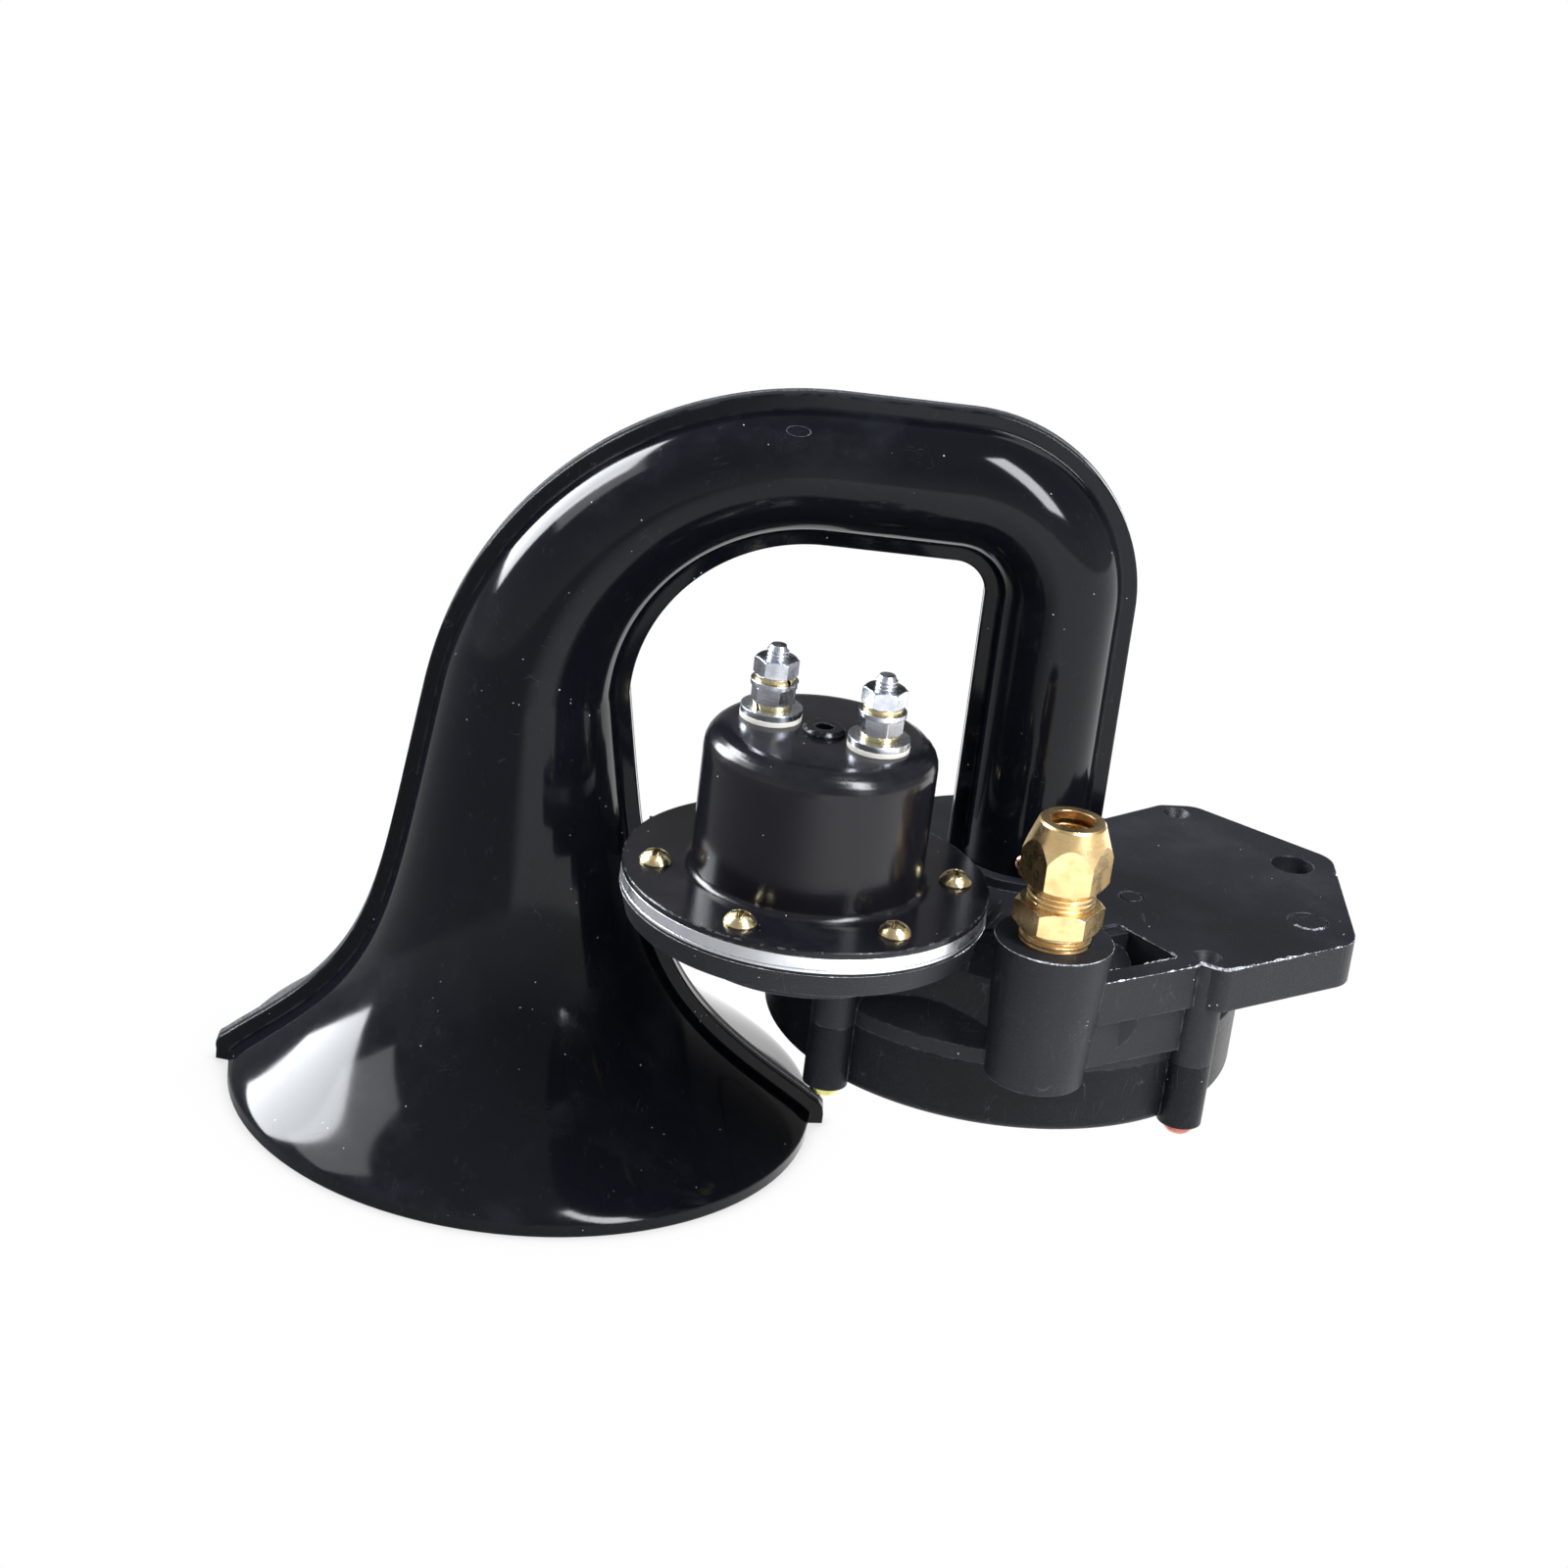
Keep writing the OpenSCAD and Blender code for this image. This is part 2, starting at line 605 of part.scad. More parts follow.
module nozzle_insert() {
    low = diaphragm_z + diaphragm_t + 0.1;
    high = 10;
    color("#55585c") translate(drum_at) difference() {
        union() {
            translate([0, 0, low]) cylinder(r = nozzle_r, h = high - low);
            translate([0, 0, nozzle_flange_z]) cylinder(r = leg_r - 0.2, h = 1.5);
        }
        leg_screw_hole();
        translate([0, 0, low - cut]) cylinder(r = nozzle_bore_r, h = high - low + 2 * cut);
        translate([0, 0, high - 4])
            cylinder(r1 = nozzle_bore_r, r2 = nozzle_r - 0.6, h = 4.01);
    }
}

leg_screw_z = 5;
leg_screw_d = 2.6;

module leg_screw_hole() {
    translate([0, -nozzle_bore_r + 1, leg_screw_z]) rotate([90, 0, 0])
        cylinder(d = leg_screw_d + 2 * slip_gap, h = 10);
}

module leg_screw() {
    color("#c9a79a") translate(drum_at + [0, -leg_r - 0.1, leg_screw_z]) rotate([90, 0, 0])
        pan_screw(leg_screw_d, leg_r - nozzle_bore_r - 0.6, 4.2, 1.7);
}

// Solenoid valve

gasket_low_z = seat_top_z;
base_plate_z = gasket_low_z + valve_gasket_t;
cap_z = base_plate_z + base_plate_t;
cap_top_z = cap_z + cap_h;
sleeve_r = plunger_d / 2 + 0.7;
seal_z = chamber_floor_z + 3.02;
plunger_z = seal_z + 2.6;
core_z = plunger_z + 21.2;
core_grip = 6;
plunger_top_z = core_z - plunger_travel - 0.2;
spring_pocket_r = spring_mean_r + spring_wire_d / 2 + 0.3;
spring_seat_z = plunger_top_z - 7;
bobbin_z = cap_z + 0.3;
bobbin_flange_t = 1.5;
bobbin_top_z = cap_top_z - cap_wall - 2.7;
bobbin_r = cap_r - cap_wall - 2;

module valve_seat() {
    color("#cfa860") translate(valve_at + [0, 0, chamber_floor_z]) difference() {
        union() {
            translate([0, 0, -2.8]) cylinder(r = seat_insert_r, h = 3);
            cylinder(r = seat_insert_r + 1.2, h = 1);
            cylinder(r = seat_insert_r - 0.6, h = 3);
        }
        translate([0, 0, -3 - cut]) cylinder(r = 1.6, h = 7 + cut);
    }
}

module flange_holes(h) {
    for (i = [0:flange_screws_n - 1])
        rotate([0, 0, flange_turn + i * 360 / flange_screws_n])
            translate([flange_pcd_r, 0, -cut])
                cylinder(d = flange_screw_d + 2 * slip_gap, h = h + 2 * cut);
}

module valve_gasket() {
    color("#1c1c1e") translate(valve_at + [0, 0, gasket_low_z]) difference() {
        ring(flange_r - 0.3, chamber_bore_r, valve_gasket_t);
        flange_holes(valve_gasket_t);
    }
}

module base_plate() {
    color("#c9ccd0") translate(valve_at + [0, 0, base_plate_z]) difference() {
        ring(flange_r, sleeve_r + thread_gap, base_plate_t);
        flange_holes(base_plate_t);
        translate([0, 0, 0.5]) ring(flange_r + cut, flange_r - 0.25, 0.15);
    }
}

module solenoid_cap() {
    bend = 1.4;
    inner = cap_r - cap_wall;
    outside = concat(corner_arc([flange_r, cap_wall], [cap_r, cap_wall], [cap_r, cap_h], bend),
        corner_arc([cap_r, 0], [cap_r, cap_h], [0, cap_h], cap_edge_r));
    color("#101113") translate(valve_at + [0, 0, cap_z]) difference() {
        rotate_extrude()
            polygon(concat([[inner, 0], [flange_r, 0], [flange_r, cap_wall]], outside,
                [[0, cap_h], [0, cap_h - cap_wall]],
                corner_arc([0, cap_h - cap_wall], [inner, cap_h - cap_wall], [inner, 0],
                    cap_edge_r - cap_wall)));
        flange_holes(cap_wall);
        translate([0, 0, cap_h - 4]) cylinder(r = rivet_r + slip_gap, h = 5);
        for (a = [stud_angle, stud_angle + 180])
            rotate([0, 0, a]) translate([stud_pitch_r, 0, cap_h - 4])
                cylinder(r = bush_r + slip_gap, h = 5);
    }
}

rivet_r = 2.5;
bush_r = stud_d / 2 + 1;
rivet_depth = 5;

module cap_rivet() {
    color("#0e0f10") translate(valve_at + [0, 0, cap_top_z]) difference() {
        union() {
            rotate_extrude()
                polygon([[0, 0], [3.9, 0], [3.9, 0.5], [3.4, 1], [2.2, 1], [0, 1]]);
            translate([0, 0, -rivet_depth]) cylinder(r = rivet_r, h = rivet_depth);
        }
        translate([0, 0, -rivet_depth - cut]) cylinder(r = 1.7, h = rivet_depth + 3 * cut);
    }
}

module flange_screws() {
    color("#c3a969") translate(valve_at + [0, 0, cap_z + cap_wall])
        for (i = [0:flange_screws_n - 1])
            rotate([0, 0, flange_turn + i * 360 / flange_screws_n])
                translate([flange_pcd_r, 0, 0]) rotate([0, 0, 25 * i])
                    pan_screw(flange_screw_d, cap_wall + base_plate_t + valve_gasket_t
                        + flange_screw_grip - 0.4, flange_screw_head_d, 2.3);
}

module coil_bobbin() {
    tube_r = sleeve_r + 0.9;
    color("#d8d4c6") translate(valve_at + [0, 0, bobbin_z]) difference() {
        h = bobbin_top_z - bobbin_z;
        union() {
            cylinder(r = tube_r, h = h);
            for (z = [0, h - bobbin_flange_t])
                translate([0, 0, z]) cylinder(r = bobbin_r, h = bobbin_flange_t);
        }
        translate([0, 0, -cut]) cylinder(r = sleeve_r + thread_gap, h = h + 2 * cut);
    }
}

module coil_winding() {
    color("#a8552a") translate(valve_at + [0, 0, bobbin_z + bobbin_flange_t])
        ring(bobbin_r - 1, sleeve_r + 1, bobbin_top_z - bobbin_z - 2 * bobbin_flange_t);
}

module guide_sleeve() {
    color("#c79a4b") translate(valve_at + [0, 0, base_plate_z])
        ring(sleeve_r, plunger_d / 2 + slip_gap, core_z + core_grip - base_plate_z);
}

module fixed_core() {
    top = cap_top_z - cap_wall;
    color("#8e9196") translate(valve_at + [0, 0, core_z]) difference() {
        cylinder(d = plunger_d, h = top - core_z);
        translate([0, 0, cap_top_z - rivet_depth - core_z])
            cylinder(r = rivet_r + thread_gap, h = rivet_depth);
        translate([0, 0, -cut]) cylinder(r = 1.2, h = top - core_z + 2 * cut);
    }
}

module plunger() {
    color("#9a9da2") translate(valve_at + [0, 0, plunger_z]) difference() {
        cylinder(d = plunger_d, h = plunger_top_z - plunger_z);
        translate([0, 0, spring_seat_z - plunger_z]) cylinder(r = spring_pocket_r, h = 20);
        for (a = [0, 180])
            rotate([0, 0, a]) translate([plunger_d / 2 - 0.4, -0.6, -cut])
                cube([2, 1.2, plunger_top_z - plunger_z + 2 * cut]);
    }
}

module plunger_seal() {
    color("#1d1d1f") translate(valve_at + [0, 0, seal_z])
        cylinder(d = plunger_d - 1.6, h = plunger_z - seal_z);
}

module return_spring() {
    wire_r = spring_wire_d / 2;
    low = spring_seat_z + wire_r + 0.02;
    high = core_z - wire_r - 0.02;
    steps = 12 * spring_turns;
    pitch = (high - low) / spring_turns;
    echo(str("return_spring least gap ", pitch - spring_wire_d));
    rings = [for (i = [0:steps])
        let (a = i * 360 * spring_turns / steps, mid = spring_mean_r,
            z = low + (high - low) * i / steps)
        [for (j = [0:5]) let (b = j * 60)
            [(mid + wire_r * cos(b)) * cos(a), (mid + wire_r * cos(b)) * sin(a),
                z + wire_r * sin(b)]]];
    color("#b5b8bc") translate(valve_at) skin([for (i = [steps:-1:0]) rings[i]],
        [for (j = [1:4]) [0, j, j + 1]]);
}

// Terminals, from the cap's inside to the studs' tips

inner_washer_t = 1;
inner_washer_r = 4.4;
contact_washer_r = 5.55;
clamp_washer_r = 4.3;
spring_washer_r = 3.6;
stud_head_t = 1.4;
bush_collar_t = 0.9;
contact_washer_t = 1.2;
spring_washer_t = 0.95;
clamp_washer_t = 0.9;
contact_z = cap_top_z + bush_collar_t;
lower_spring_z = contact_z + contact_washer_t;
lower_nut_z = lower_spring_z + spring_washer_t;
clamp_z = lower_nut_z + terminal_nut_h;
upper_spring_z = clamp_z + clamp_washer_t;
upper_nut_z = upper_spring_z + spring_washer_t;
washer_bore_r = stud_d / 2 + slip_gap;

module terminal_studs() {
    head_z = cap_top_z - cap_wall - inner_washer_t - stud_head_t;
    tip_z = cap_top_z + stud_rise;
    color("#c6c9cd") at_studs() {
        translate([0, 0, head_z]) cylinder(r = 3.4, h = stud_head_t, $fn = 6);
        translate([0, 0, head_z + stud_head_t / 2])
            cylinder(d = stud_d, h = lower_nut_z - head_z - stud_head_t / 2);
        translate([0, 0, lower_nut_z - 0.1]) thread(stud_d / 2, tip_z - lower_nut_z - 0.5, 0.7);
        translate([0, 0, tip_z - 0.7]) cylinder(d1 = stud_d - 0.4, d2 = stud_d - 1.1, h = 0.7);
    }
}

module inner_insulators() {
    color("#d9d2bd") at_studs()
        translate([0, 0, cap_top_z - cap_wall - inner_washer_t])
            ring(inner_washer_r, washer_bore_r, inner_washer_t);
}

module terminal_bushes() {
    color("#e4e0d2") at_studs() difference() {
        union() {
            translate([0, 0, cap_top_z - cap_wall]) cylinder(r = bush_r, h = cap_wall + 0.5);
            translate([0, 0, cap_top_z]) cylinder(r = contact_washer_r + 0.05, h = bush_collar_t);
        }
        translate([0, 0, cap_top_z - cap_wall - cut])
            cylinder(r = washer_bore_r, h = cap_wall + bush_collar_t + 2 * cut);
    }
}

module contact_washers() {
    color("#d2d5d8") at_studs()
        translate([0, 0, contact_z]) ring(contact_washer_r, washer_bore_r, contact_washer_t);
}

module lower_spring_washers() {
    color("#b99e55") at_studs()
        translate([0, 0, lower_spring_z]) rotate([0, 0, 70])
            split_ring(spring_washer_r, washer_bore_r, spring_washer_t);
}

module terminal_nut(z, turn) {
    translate([0, 0, z]) rotate([0, 0, turn]) difference() {
        hexagon(terminal_nut_af, terminal_nut_h, 0.5, 0.5);
        translate([0, 0, -cut]) cylinder(r = washer_bore_r, h = terminal_nut_h + 2 * cut);
    }
}

module lower_nuts() {
    color("#cfd2d6") at_studs() terminal_nut(lower_nut_z, 10);
}

module clamp_washers() {
    color("#d2d5d8") at_studs()
        translate([0, 0, clamp_z]) ring(clamp_washer_r, washer_bore_r, clamp_washer_t);
}

module upper_spring_washers() {
    color("#b99e55") at_studs()
        translate([0, 0, upper_spring_z]) rotate([0, 0, 160])
            split_ring(spring_washer_r, washer_bore_r, spring_washer_t);
}

module upper_nuts() {
    color("#cfd2d6") at_studs() terminal_nut(upper_nut_z, 25);
}

// Air inlet

pipe_thread_z = pipe_floor_z + 3.4;
hex_z = inlet_rise + 2.7;
hex_h = 4.8;
nut_z = hex_z + hex_h + nut_travel + 0.5;
body_top_z = nut_z + 3.2;
ferrule_z = body_top_z + 3.6;
line_bore_r = air_line_d / 2 + 0.1;

module fitting_body() {
    color("#cfa75c") translate(inlet_at) difference() {
        union() {
            translate([0, 0, pipe_thread_z])
                thread(pipe_thread_d / 2, hex_z - pipe_thread_z + 0.2, 1.34);
            translate([0, 0, hex_z]) hexagon(fitting_af, hex_h, 0.9, 0.9);
            translate([0, 0, hex_z + hex_h - 0.2])
                thread(nut_thread_d / 2, body_top_z - hex_z - hex_h + 0.2, 1);
        }
        translate([0, 0, hex_z]) cylinder(r = line_bore_r, h = 20);
        translate([0, 0, pipe_thread_z - cut]) cylinder(r = 3, h = 20);
        translate([0, 0, body_top_z - 1]) cylinder(r1 = line_bore_r, r2 = line_bore_r + 1.2, h = 1.2);
    }
}

module ferrule() {
    color("#d9b56e") translate(inlet_at + [0, 0, ferrule_z])
        rotate_extrude()
            polygon([[line_bore_r, 0], [line_bore_r + 0.4, 0], [line_bore_r + 1.4, 1.1],
                [line_bore_r + 1.4, 1.5], [line_bore_r + 0.4, 2.6], [line_bore_r, 2.6]]);
}

module compression_nut() {
    corner_r = fitting_af / sqrt(3);
    rim_r = line_bore_r + 1.75;
    hex_part = nut_h * 0.47;
    roof_z = nut_h - 2.4;
    color("#d6ae62") translate(inlet_at + [0, 0, nut_z]) difference() {
        intersection() {
            cylinder(r = corner_r, h = nut_h, $fn = 6);
            union() {
                cylinder(r1 = corner_r - 1, r2 = corner_r, h = 0.6);
                translate([0, 0, 0.6]) cylinder(r = corner_r, h = hex_part - 0.6);
                translate([0, 0, hex_part])
                    cylinder(r1 = corner_r, r2 = rim_r + 0.25, h = nut_h - hex_part - 0.4);
                translate([0, 0, nut_h - 0.4]) cylinder(r1 = rim_r + 0.25, r2 = rim_r - 0.1, h = 0.4);
            }
        }
        translate([0, 0, -cut]) cylinder(r = line_bore_r, h = nut_h + 2 * cut);
        translate([0, 0, -cut])
            cylinder(d = nut_thread_d + 2 * thread_gap, h = ferrule_z - nut_z + 1.3 + cut);
        translate([0, 0, ferrule_z - nut_z + 1.29])
            cylinder(r1 = nut_thread_d / 2 + thread_gap, r2 = line_bore_r, h = roof_z - ferrule_z + nut_z);
    }
}

trumpet_front_half();
trumpet_back_half();
head_body();
bottom_cover();
cover_screws();
diaphragm();
diaphragm_gasket();
press_ring();
nozzle_insert();
leg_screw();
valve_seat();
valve_gasket();
base_plate();
solenoid_cap();
cap_rivet();
flange_screws();
coil_bobbin();
coil_winding();
guide_sleeve();
fixed_core();
plunger();
plunger_seal();
return_spring();
terminal_studs();
inner_insulators();
terminal_bushes();
contact_washers();
lower_spring_washers();
lower_nuts();
clamp_washers();
upper_spring_washers();
upper_nuts();
fitting_body();
ferrule();
compression_nut();
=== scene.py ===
"""Looks of the snail horn: finishes, moulding marks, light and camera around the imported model."""
import math
import random

import bmesh
import bpy
from mathutils import Matrix, Vector
from mathutils.bvhtree import BVHTree


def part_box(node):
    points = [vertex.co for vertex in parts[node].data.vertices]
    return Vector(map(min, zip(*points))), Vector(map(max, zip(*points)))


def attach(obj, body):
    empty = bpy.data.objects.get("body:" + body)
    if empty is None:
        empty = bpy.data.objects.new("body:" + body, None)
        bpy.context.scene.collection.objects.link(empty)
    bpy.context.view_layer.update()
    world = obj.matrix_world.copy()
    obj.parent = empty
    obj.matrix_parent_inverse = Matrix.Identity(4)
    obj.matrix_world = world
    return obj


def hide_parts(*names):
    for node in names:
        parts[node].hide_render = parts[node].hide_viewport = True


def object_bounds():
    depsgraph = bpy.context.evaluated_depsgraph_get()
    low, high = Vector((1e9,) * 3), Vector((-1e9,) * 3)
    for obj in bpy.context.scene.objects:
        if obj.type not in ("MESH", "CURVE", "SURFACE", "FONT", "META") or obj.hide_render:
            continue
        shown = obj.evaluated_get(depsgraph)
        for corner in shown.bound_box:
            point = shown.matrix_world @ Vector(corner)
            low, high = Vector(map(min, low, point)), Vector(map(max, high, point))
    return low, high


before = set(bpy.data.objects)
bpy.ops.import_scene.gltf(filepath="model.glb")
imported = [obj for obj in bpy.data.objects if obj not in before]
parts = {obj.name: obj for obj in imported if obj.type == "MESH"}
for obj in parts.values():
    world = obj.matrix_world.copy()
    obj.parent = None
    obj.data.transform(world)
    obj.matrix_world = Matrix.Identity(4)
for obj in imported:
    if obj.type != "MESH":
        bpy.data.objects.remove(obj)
cad_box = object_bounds()
MM = 0.001


# Places that several pieces share, in metres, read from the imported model

def middle(name):
    """Middle of a node's box at rest."""
    low, high = (Vector(c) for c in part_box(name))
    return (low + high) / 2


drum_axis = middle("diaphragm")
valve_axis = middle("base_plate")
inlet_axis = middle("compression_nut")
trumpet_plane_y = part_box("trumpet_back_half")[0][1]
floor_z = cad_box[0][2] - 0.1 * MM


# Shader nodes

BEVEL_SAMPLES = 4
NUMBER = "NodeSocketFloat"


def srgb(hex_code):
    """Linear colour of a colour written as on screen."""
    shown = [int(hex_code[i:i + 2], 16) / 255 for i in (0, 2, 4)]
    return tuple(c / 12.92 if c < 0.04045 else ((c + 0.055) / 1.055) ** 2.4 for c in shown) + (1,)


def feed(tree, socket, value):
    """Links a socket to another one, or gives it a plain value."""
    if isinstance(value, bpy.types.NodeSocket):
        tree.links.new(value, socket)
    else:
        socket.default_value = value


def feed_named(tree, sockets, values):
    """Feeds each socket that a keyword names, an underscore standing for a space."""
    for key, value in values.items():
        feed(tree, sockets[key.replace("_", " ")], value)


def put(tree, kind, settings=None, **inputs):
    """Adds a node and feeds its inputs, which go by name, or by number as in0 or in1."""
    made = tree.nodes.new("ShaderNode" + kind)
    for key, value in (settings or {}).items():
        setattr(made, key, value)
    for key, value in inputs.items():
        by_number = key.startswith("in") and key[2:].isdigit()
        feed(tree, made.inputs[int(key[2:]) if by_number else key.replace("_", " ")], value)
    return made


def sums(tree, operation, a, b=0.0, c=None):
    """Result of one step of arithmetic on values or sockets."""
    made = put(tree, "Math", {"operation": operation}, in0=a, in1=b)
    if c is not None:
        feed(tree, made.inputs[2], c)
    return made.outputs[0]


def times(tree, a, b):
    """Product of two values or sockets."""
    return sums(tree, "MULTIPLY", a, b)


def span(tree, value, low, high, to_low=0.0, to_high=1.0, smooth=True):
    """The value carried from one range to another, and held at its ends."""
    made = put(tree, "MapRange", {"interpolation_type": "SMOOTHSTEP" if smooth else "LINEAR"},
               Value=value, From_Min=low, From_Max=high, To_Min=to_low, To_Max=to_high)
    return made.outputs[0]


def within(tree, value, low, high):
    """1 where the value lies between low and high, and 0 elsewhere."""
    return times(tree, sums(tree, "GREATER_THAN", value, low), sums(tree, "LESS_THAN", value, high))


def blend_colours(tree, amount, a, b):
    """Colour a, turning into colour b as the amount goes from 0 to 1."""
    return put(tree, "Mix", {"data_type": "RGBA"}, in0=amount, in6=a, in7=b).outputs[2]


def laid_over(tree, colour, mask, strength, hex_code):
    """The colour with another one laid over it where the mask is, at a strength."""
    return blend_colours(tree, times(tree, mask, strength), colour, srgb(hex_code))


def object_place(tree):
    """Place on the object in metres, which moves with it."""
    return put(tree, "TexCoord").outputs["Object"]


def place(tree, scale=(1, 1, 1), turn=(0, 0, 0)):
    """Place on the object, scaled and turned."""
    return put(tree, "Mapping", Vector=object_place(tree), Scale=scale, Rotation=turn).outputs[0]


def apart(tree, vector):
    """The three components of a vector."""
    return put(tree, "SeparateXYZ", Vector=vector).outputs


def noise(tree, vector, scale, detail=3.0, rough=0.55):
    """Cloudy values about 0.5, of so many cells to the metre."""
    return put(tree, "TexNoise", Vector=vector, Scale=scale, Detail=detail, Roughness=rough).outputs[0]


def bevel_normal(tree, radius):
    """Normal of the surface with its edges rounded to a radius."""
    return put(tree, "Bevel", {"samples": BEVEL_SAMPLES}, Radius=radius).outputs[0]


def group(name, inputs, outputs, build):
    """A node group of number sockets, filled by build(tree, its inputs)."""
    tree = bpy.data.node_groups.new(name, "ShaderNodeTree")
    for socket, value in inputs.items():
        tree.interface.new_socket(socket, in_out="INPUT", socket_type=NUMBER).default_value = value
    for socket in outputs:
        tree.interface.new_socket(socket, in_out="OUTPUT", socket_type=NUMBER)
    start = tree.nodes.new("NodeGroupInput")
    end = tree.nodes.new("NodeGroupOutput")
    for socket, value in build(tree, start.outputs).items():
        tree.links.new(value, end.inputs[socket])
    return tree


def use(tree, made_group, **inputs):
    """Places a node group with values of its own, and gives its outputs."""
    made = tree.nodes.new("ShaderNodeGroup")
    made.node_tree = made_group
    feed_named(tree, made.inputs, inputs)
    return made.outputs


# Effects that several finishes share, as node groups

def build_edge_rub(tree, given):
    """Worn edges: where the bevelled normal leaves the true one, in patches."""
    flat = put(tree, "NewGeometry").outputs["Normal"]
    same = put(tree, "VectorMath", {"operation": "DOT_PRODUCT"},
               in0=bevel_normal(tree, given["Width"]), in1=flat).outputs["Value"]
    lost = span(tree, sums(tree, "SUBTRACT", 1.0, same), 0.004, 0.12)
    patches = span(tree, noise(tree, place(tree), given["Patch Scale"], 4), 0.42, 0.62)
    return {"Rub": times(tree, lost, patches)}


def build_fine_grain(tree, given):
    """Skin of a moulded or cast surface: fine grain on slow unevenness."""
    slow_share = 0.02
    where = place(tree)
    fine = noise(tree, where, given["Scale"], 2, 0.6)
    slow = noise(tree, where, times(tree, given["Scale"], slow_share), 3)
    height = sums(tree, "ADD", slow, times(tree, fine, given["Depth"]))
    return {"Height": height, "Tone": slow, "Grit": span(tree, fine, 0.55, 0.8)}


def build_dust(tree, given):
    """Thin dust that lies thicker on faces that look up, with pale specks in loose clusters."""
    speck_size, cluster_scale = 0.12, 85.0
    where = place(tree)
    facing_up = apart(tree, put(tree, "NewGeometry").outputs["Normal"])[2]
    lie = span(tree, facing_up, -0.2, 0.9, 0.15, 1.0)
    film = span(tree, noise(tree, where, given["Film Scale"], 5, 0.65), 0.46, 0.78)
    cells = put(tree, "TexVoronoi", {"feature": "F1"}, Vector=where, Scale=given["Speck Scale"])
    chance = apart(tree, cells.outputs["Color"])
    near = sums(tree, "LESS_THAN", cells.outputs["Distance"], times(tree, chance[1], speck_size))
    clusters = span(tree, noise(tree, where, cluster_scale, 3), 0.45, 0.72, 0.4, 3.2)
    rare = sums(tree, "LESS_THAN", chance[0], times(tree, given["Specks"], clusters))
    return {"Film": times(tree, times(tree, film, lie), given["Film"]), "Specks": times(tree, near, rare)}


def build_hair_scratches(tree, given):
    """Hair-fine handling scratches in two crossing directions, broken into short runs."""
    run_share = 1.7
    found = None
    for turn, stretch in (((0.4, 0.2, 0.9), (1, 9, 1)), ((1.1, 0.7, -0.5), (7, 1, 1))):
        lines = noise(tree, place(tree, stretch, turn), given["Scale"], 2, 0.5)
        off_line = sums(tree, "ABSOLUTE", sums(tree, "SUBTRACT", lines, 0.5))
        near = span(tree, off_line, 0.0, given["Fineness"], 1.0, 0.0)
        long_noise = noise(tree, place(tree, turn=turn), times(tree, given["Scale"], run_share), 2)
        one = times(tree, near, span(tree, long_noise, 0.56, 0.66))
        found = one if found is None else sums(tree, "MAXIMUM", found, one)
    return {"Scratch": times(tree, found, given["Amount"])}


def build_turning_rings(tree, given):
    """Fine level lines that a lathe or a plating bath leaves: noise drawn out along X and Y."""
    draw_out = 0.06
    lines = noise(tree, place(tree, (draw_out, draw_out, 1)), given["Scale"], 3)
    return {"Height": times(tree, lines, given["Depth"]), "Tone": lines}


edge_rub = group("edge rub", {"Width": 0.5 * MM, "Patch Scale": 400.0}, ["Rub"], build_edge_rub)
fine_grain = group("fine grain", {"Scale": 2500.0, "Depth": 1.0},
                   ["Height", "Tone", "Grit"], build_fine_grain)
dust = group("dust", {"Film": 0.2, "Film Scale": 60.0, "Speck Scale": 500.0, "Specks": 0.1},
             ["Film", "Specks"], build_dust)
hair_scratches = group("hair scratches", {"Scale": 60.0, "Fineness": 0.01, "Amount": 1.0},
                       ["Scratch"], build_hair_scratches)
turning_rings = group("turning rings", {"Scale": 3000.0, "Depth": 1.0},
                      ["Height", "Tone"], build_turning_rings)


# Finishes

def finish_of(name):
    """A new material, its node tree and its shader."""
    material = bpy.data.materials.new(name)
    material.use_nodes = True
    tree = material.node_tree
    tree.nodes.clear()
    shader = put(tree, "BsdfPrincipled")
    tree.links.new(shader.outputs[0], put(tree, "OutputMaterial").inputs["Surface"])
    return material, tree, shader


def into(tree, shader, **values):
    """Feeds a shader's own sockets."""
    feed_named(tree, shader.inputs, values)


def bumped(tree, height, distance, edge_radius=None):
    """Normal from a height that stands up to a distance, on edges softened by edge_radius."""
    bump = put(tree, "Bump", Strength=1.0, Distance=distance, Height=height)
    if edge_radius:
        tree.links.new(bevel_normal(tree, edge_radius), bump.inputs["Normal"])
    return bump.outputs[0]


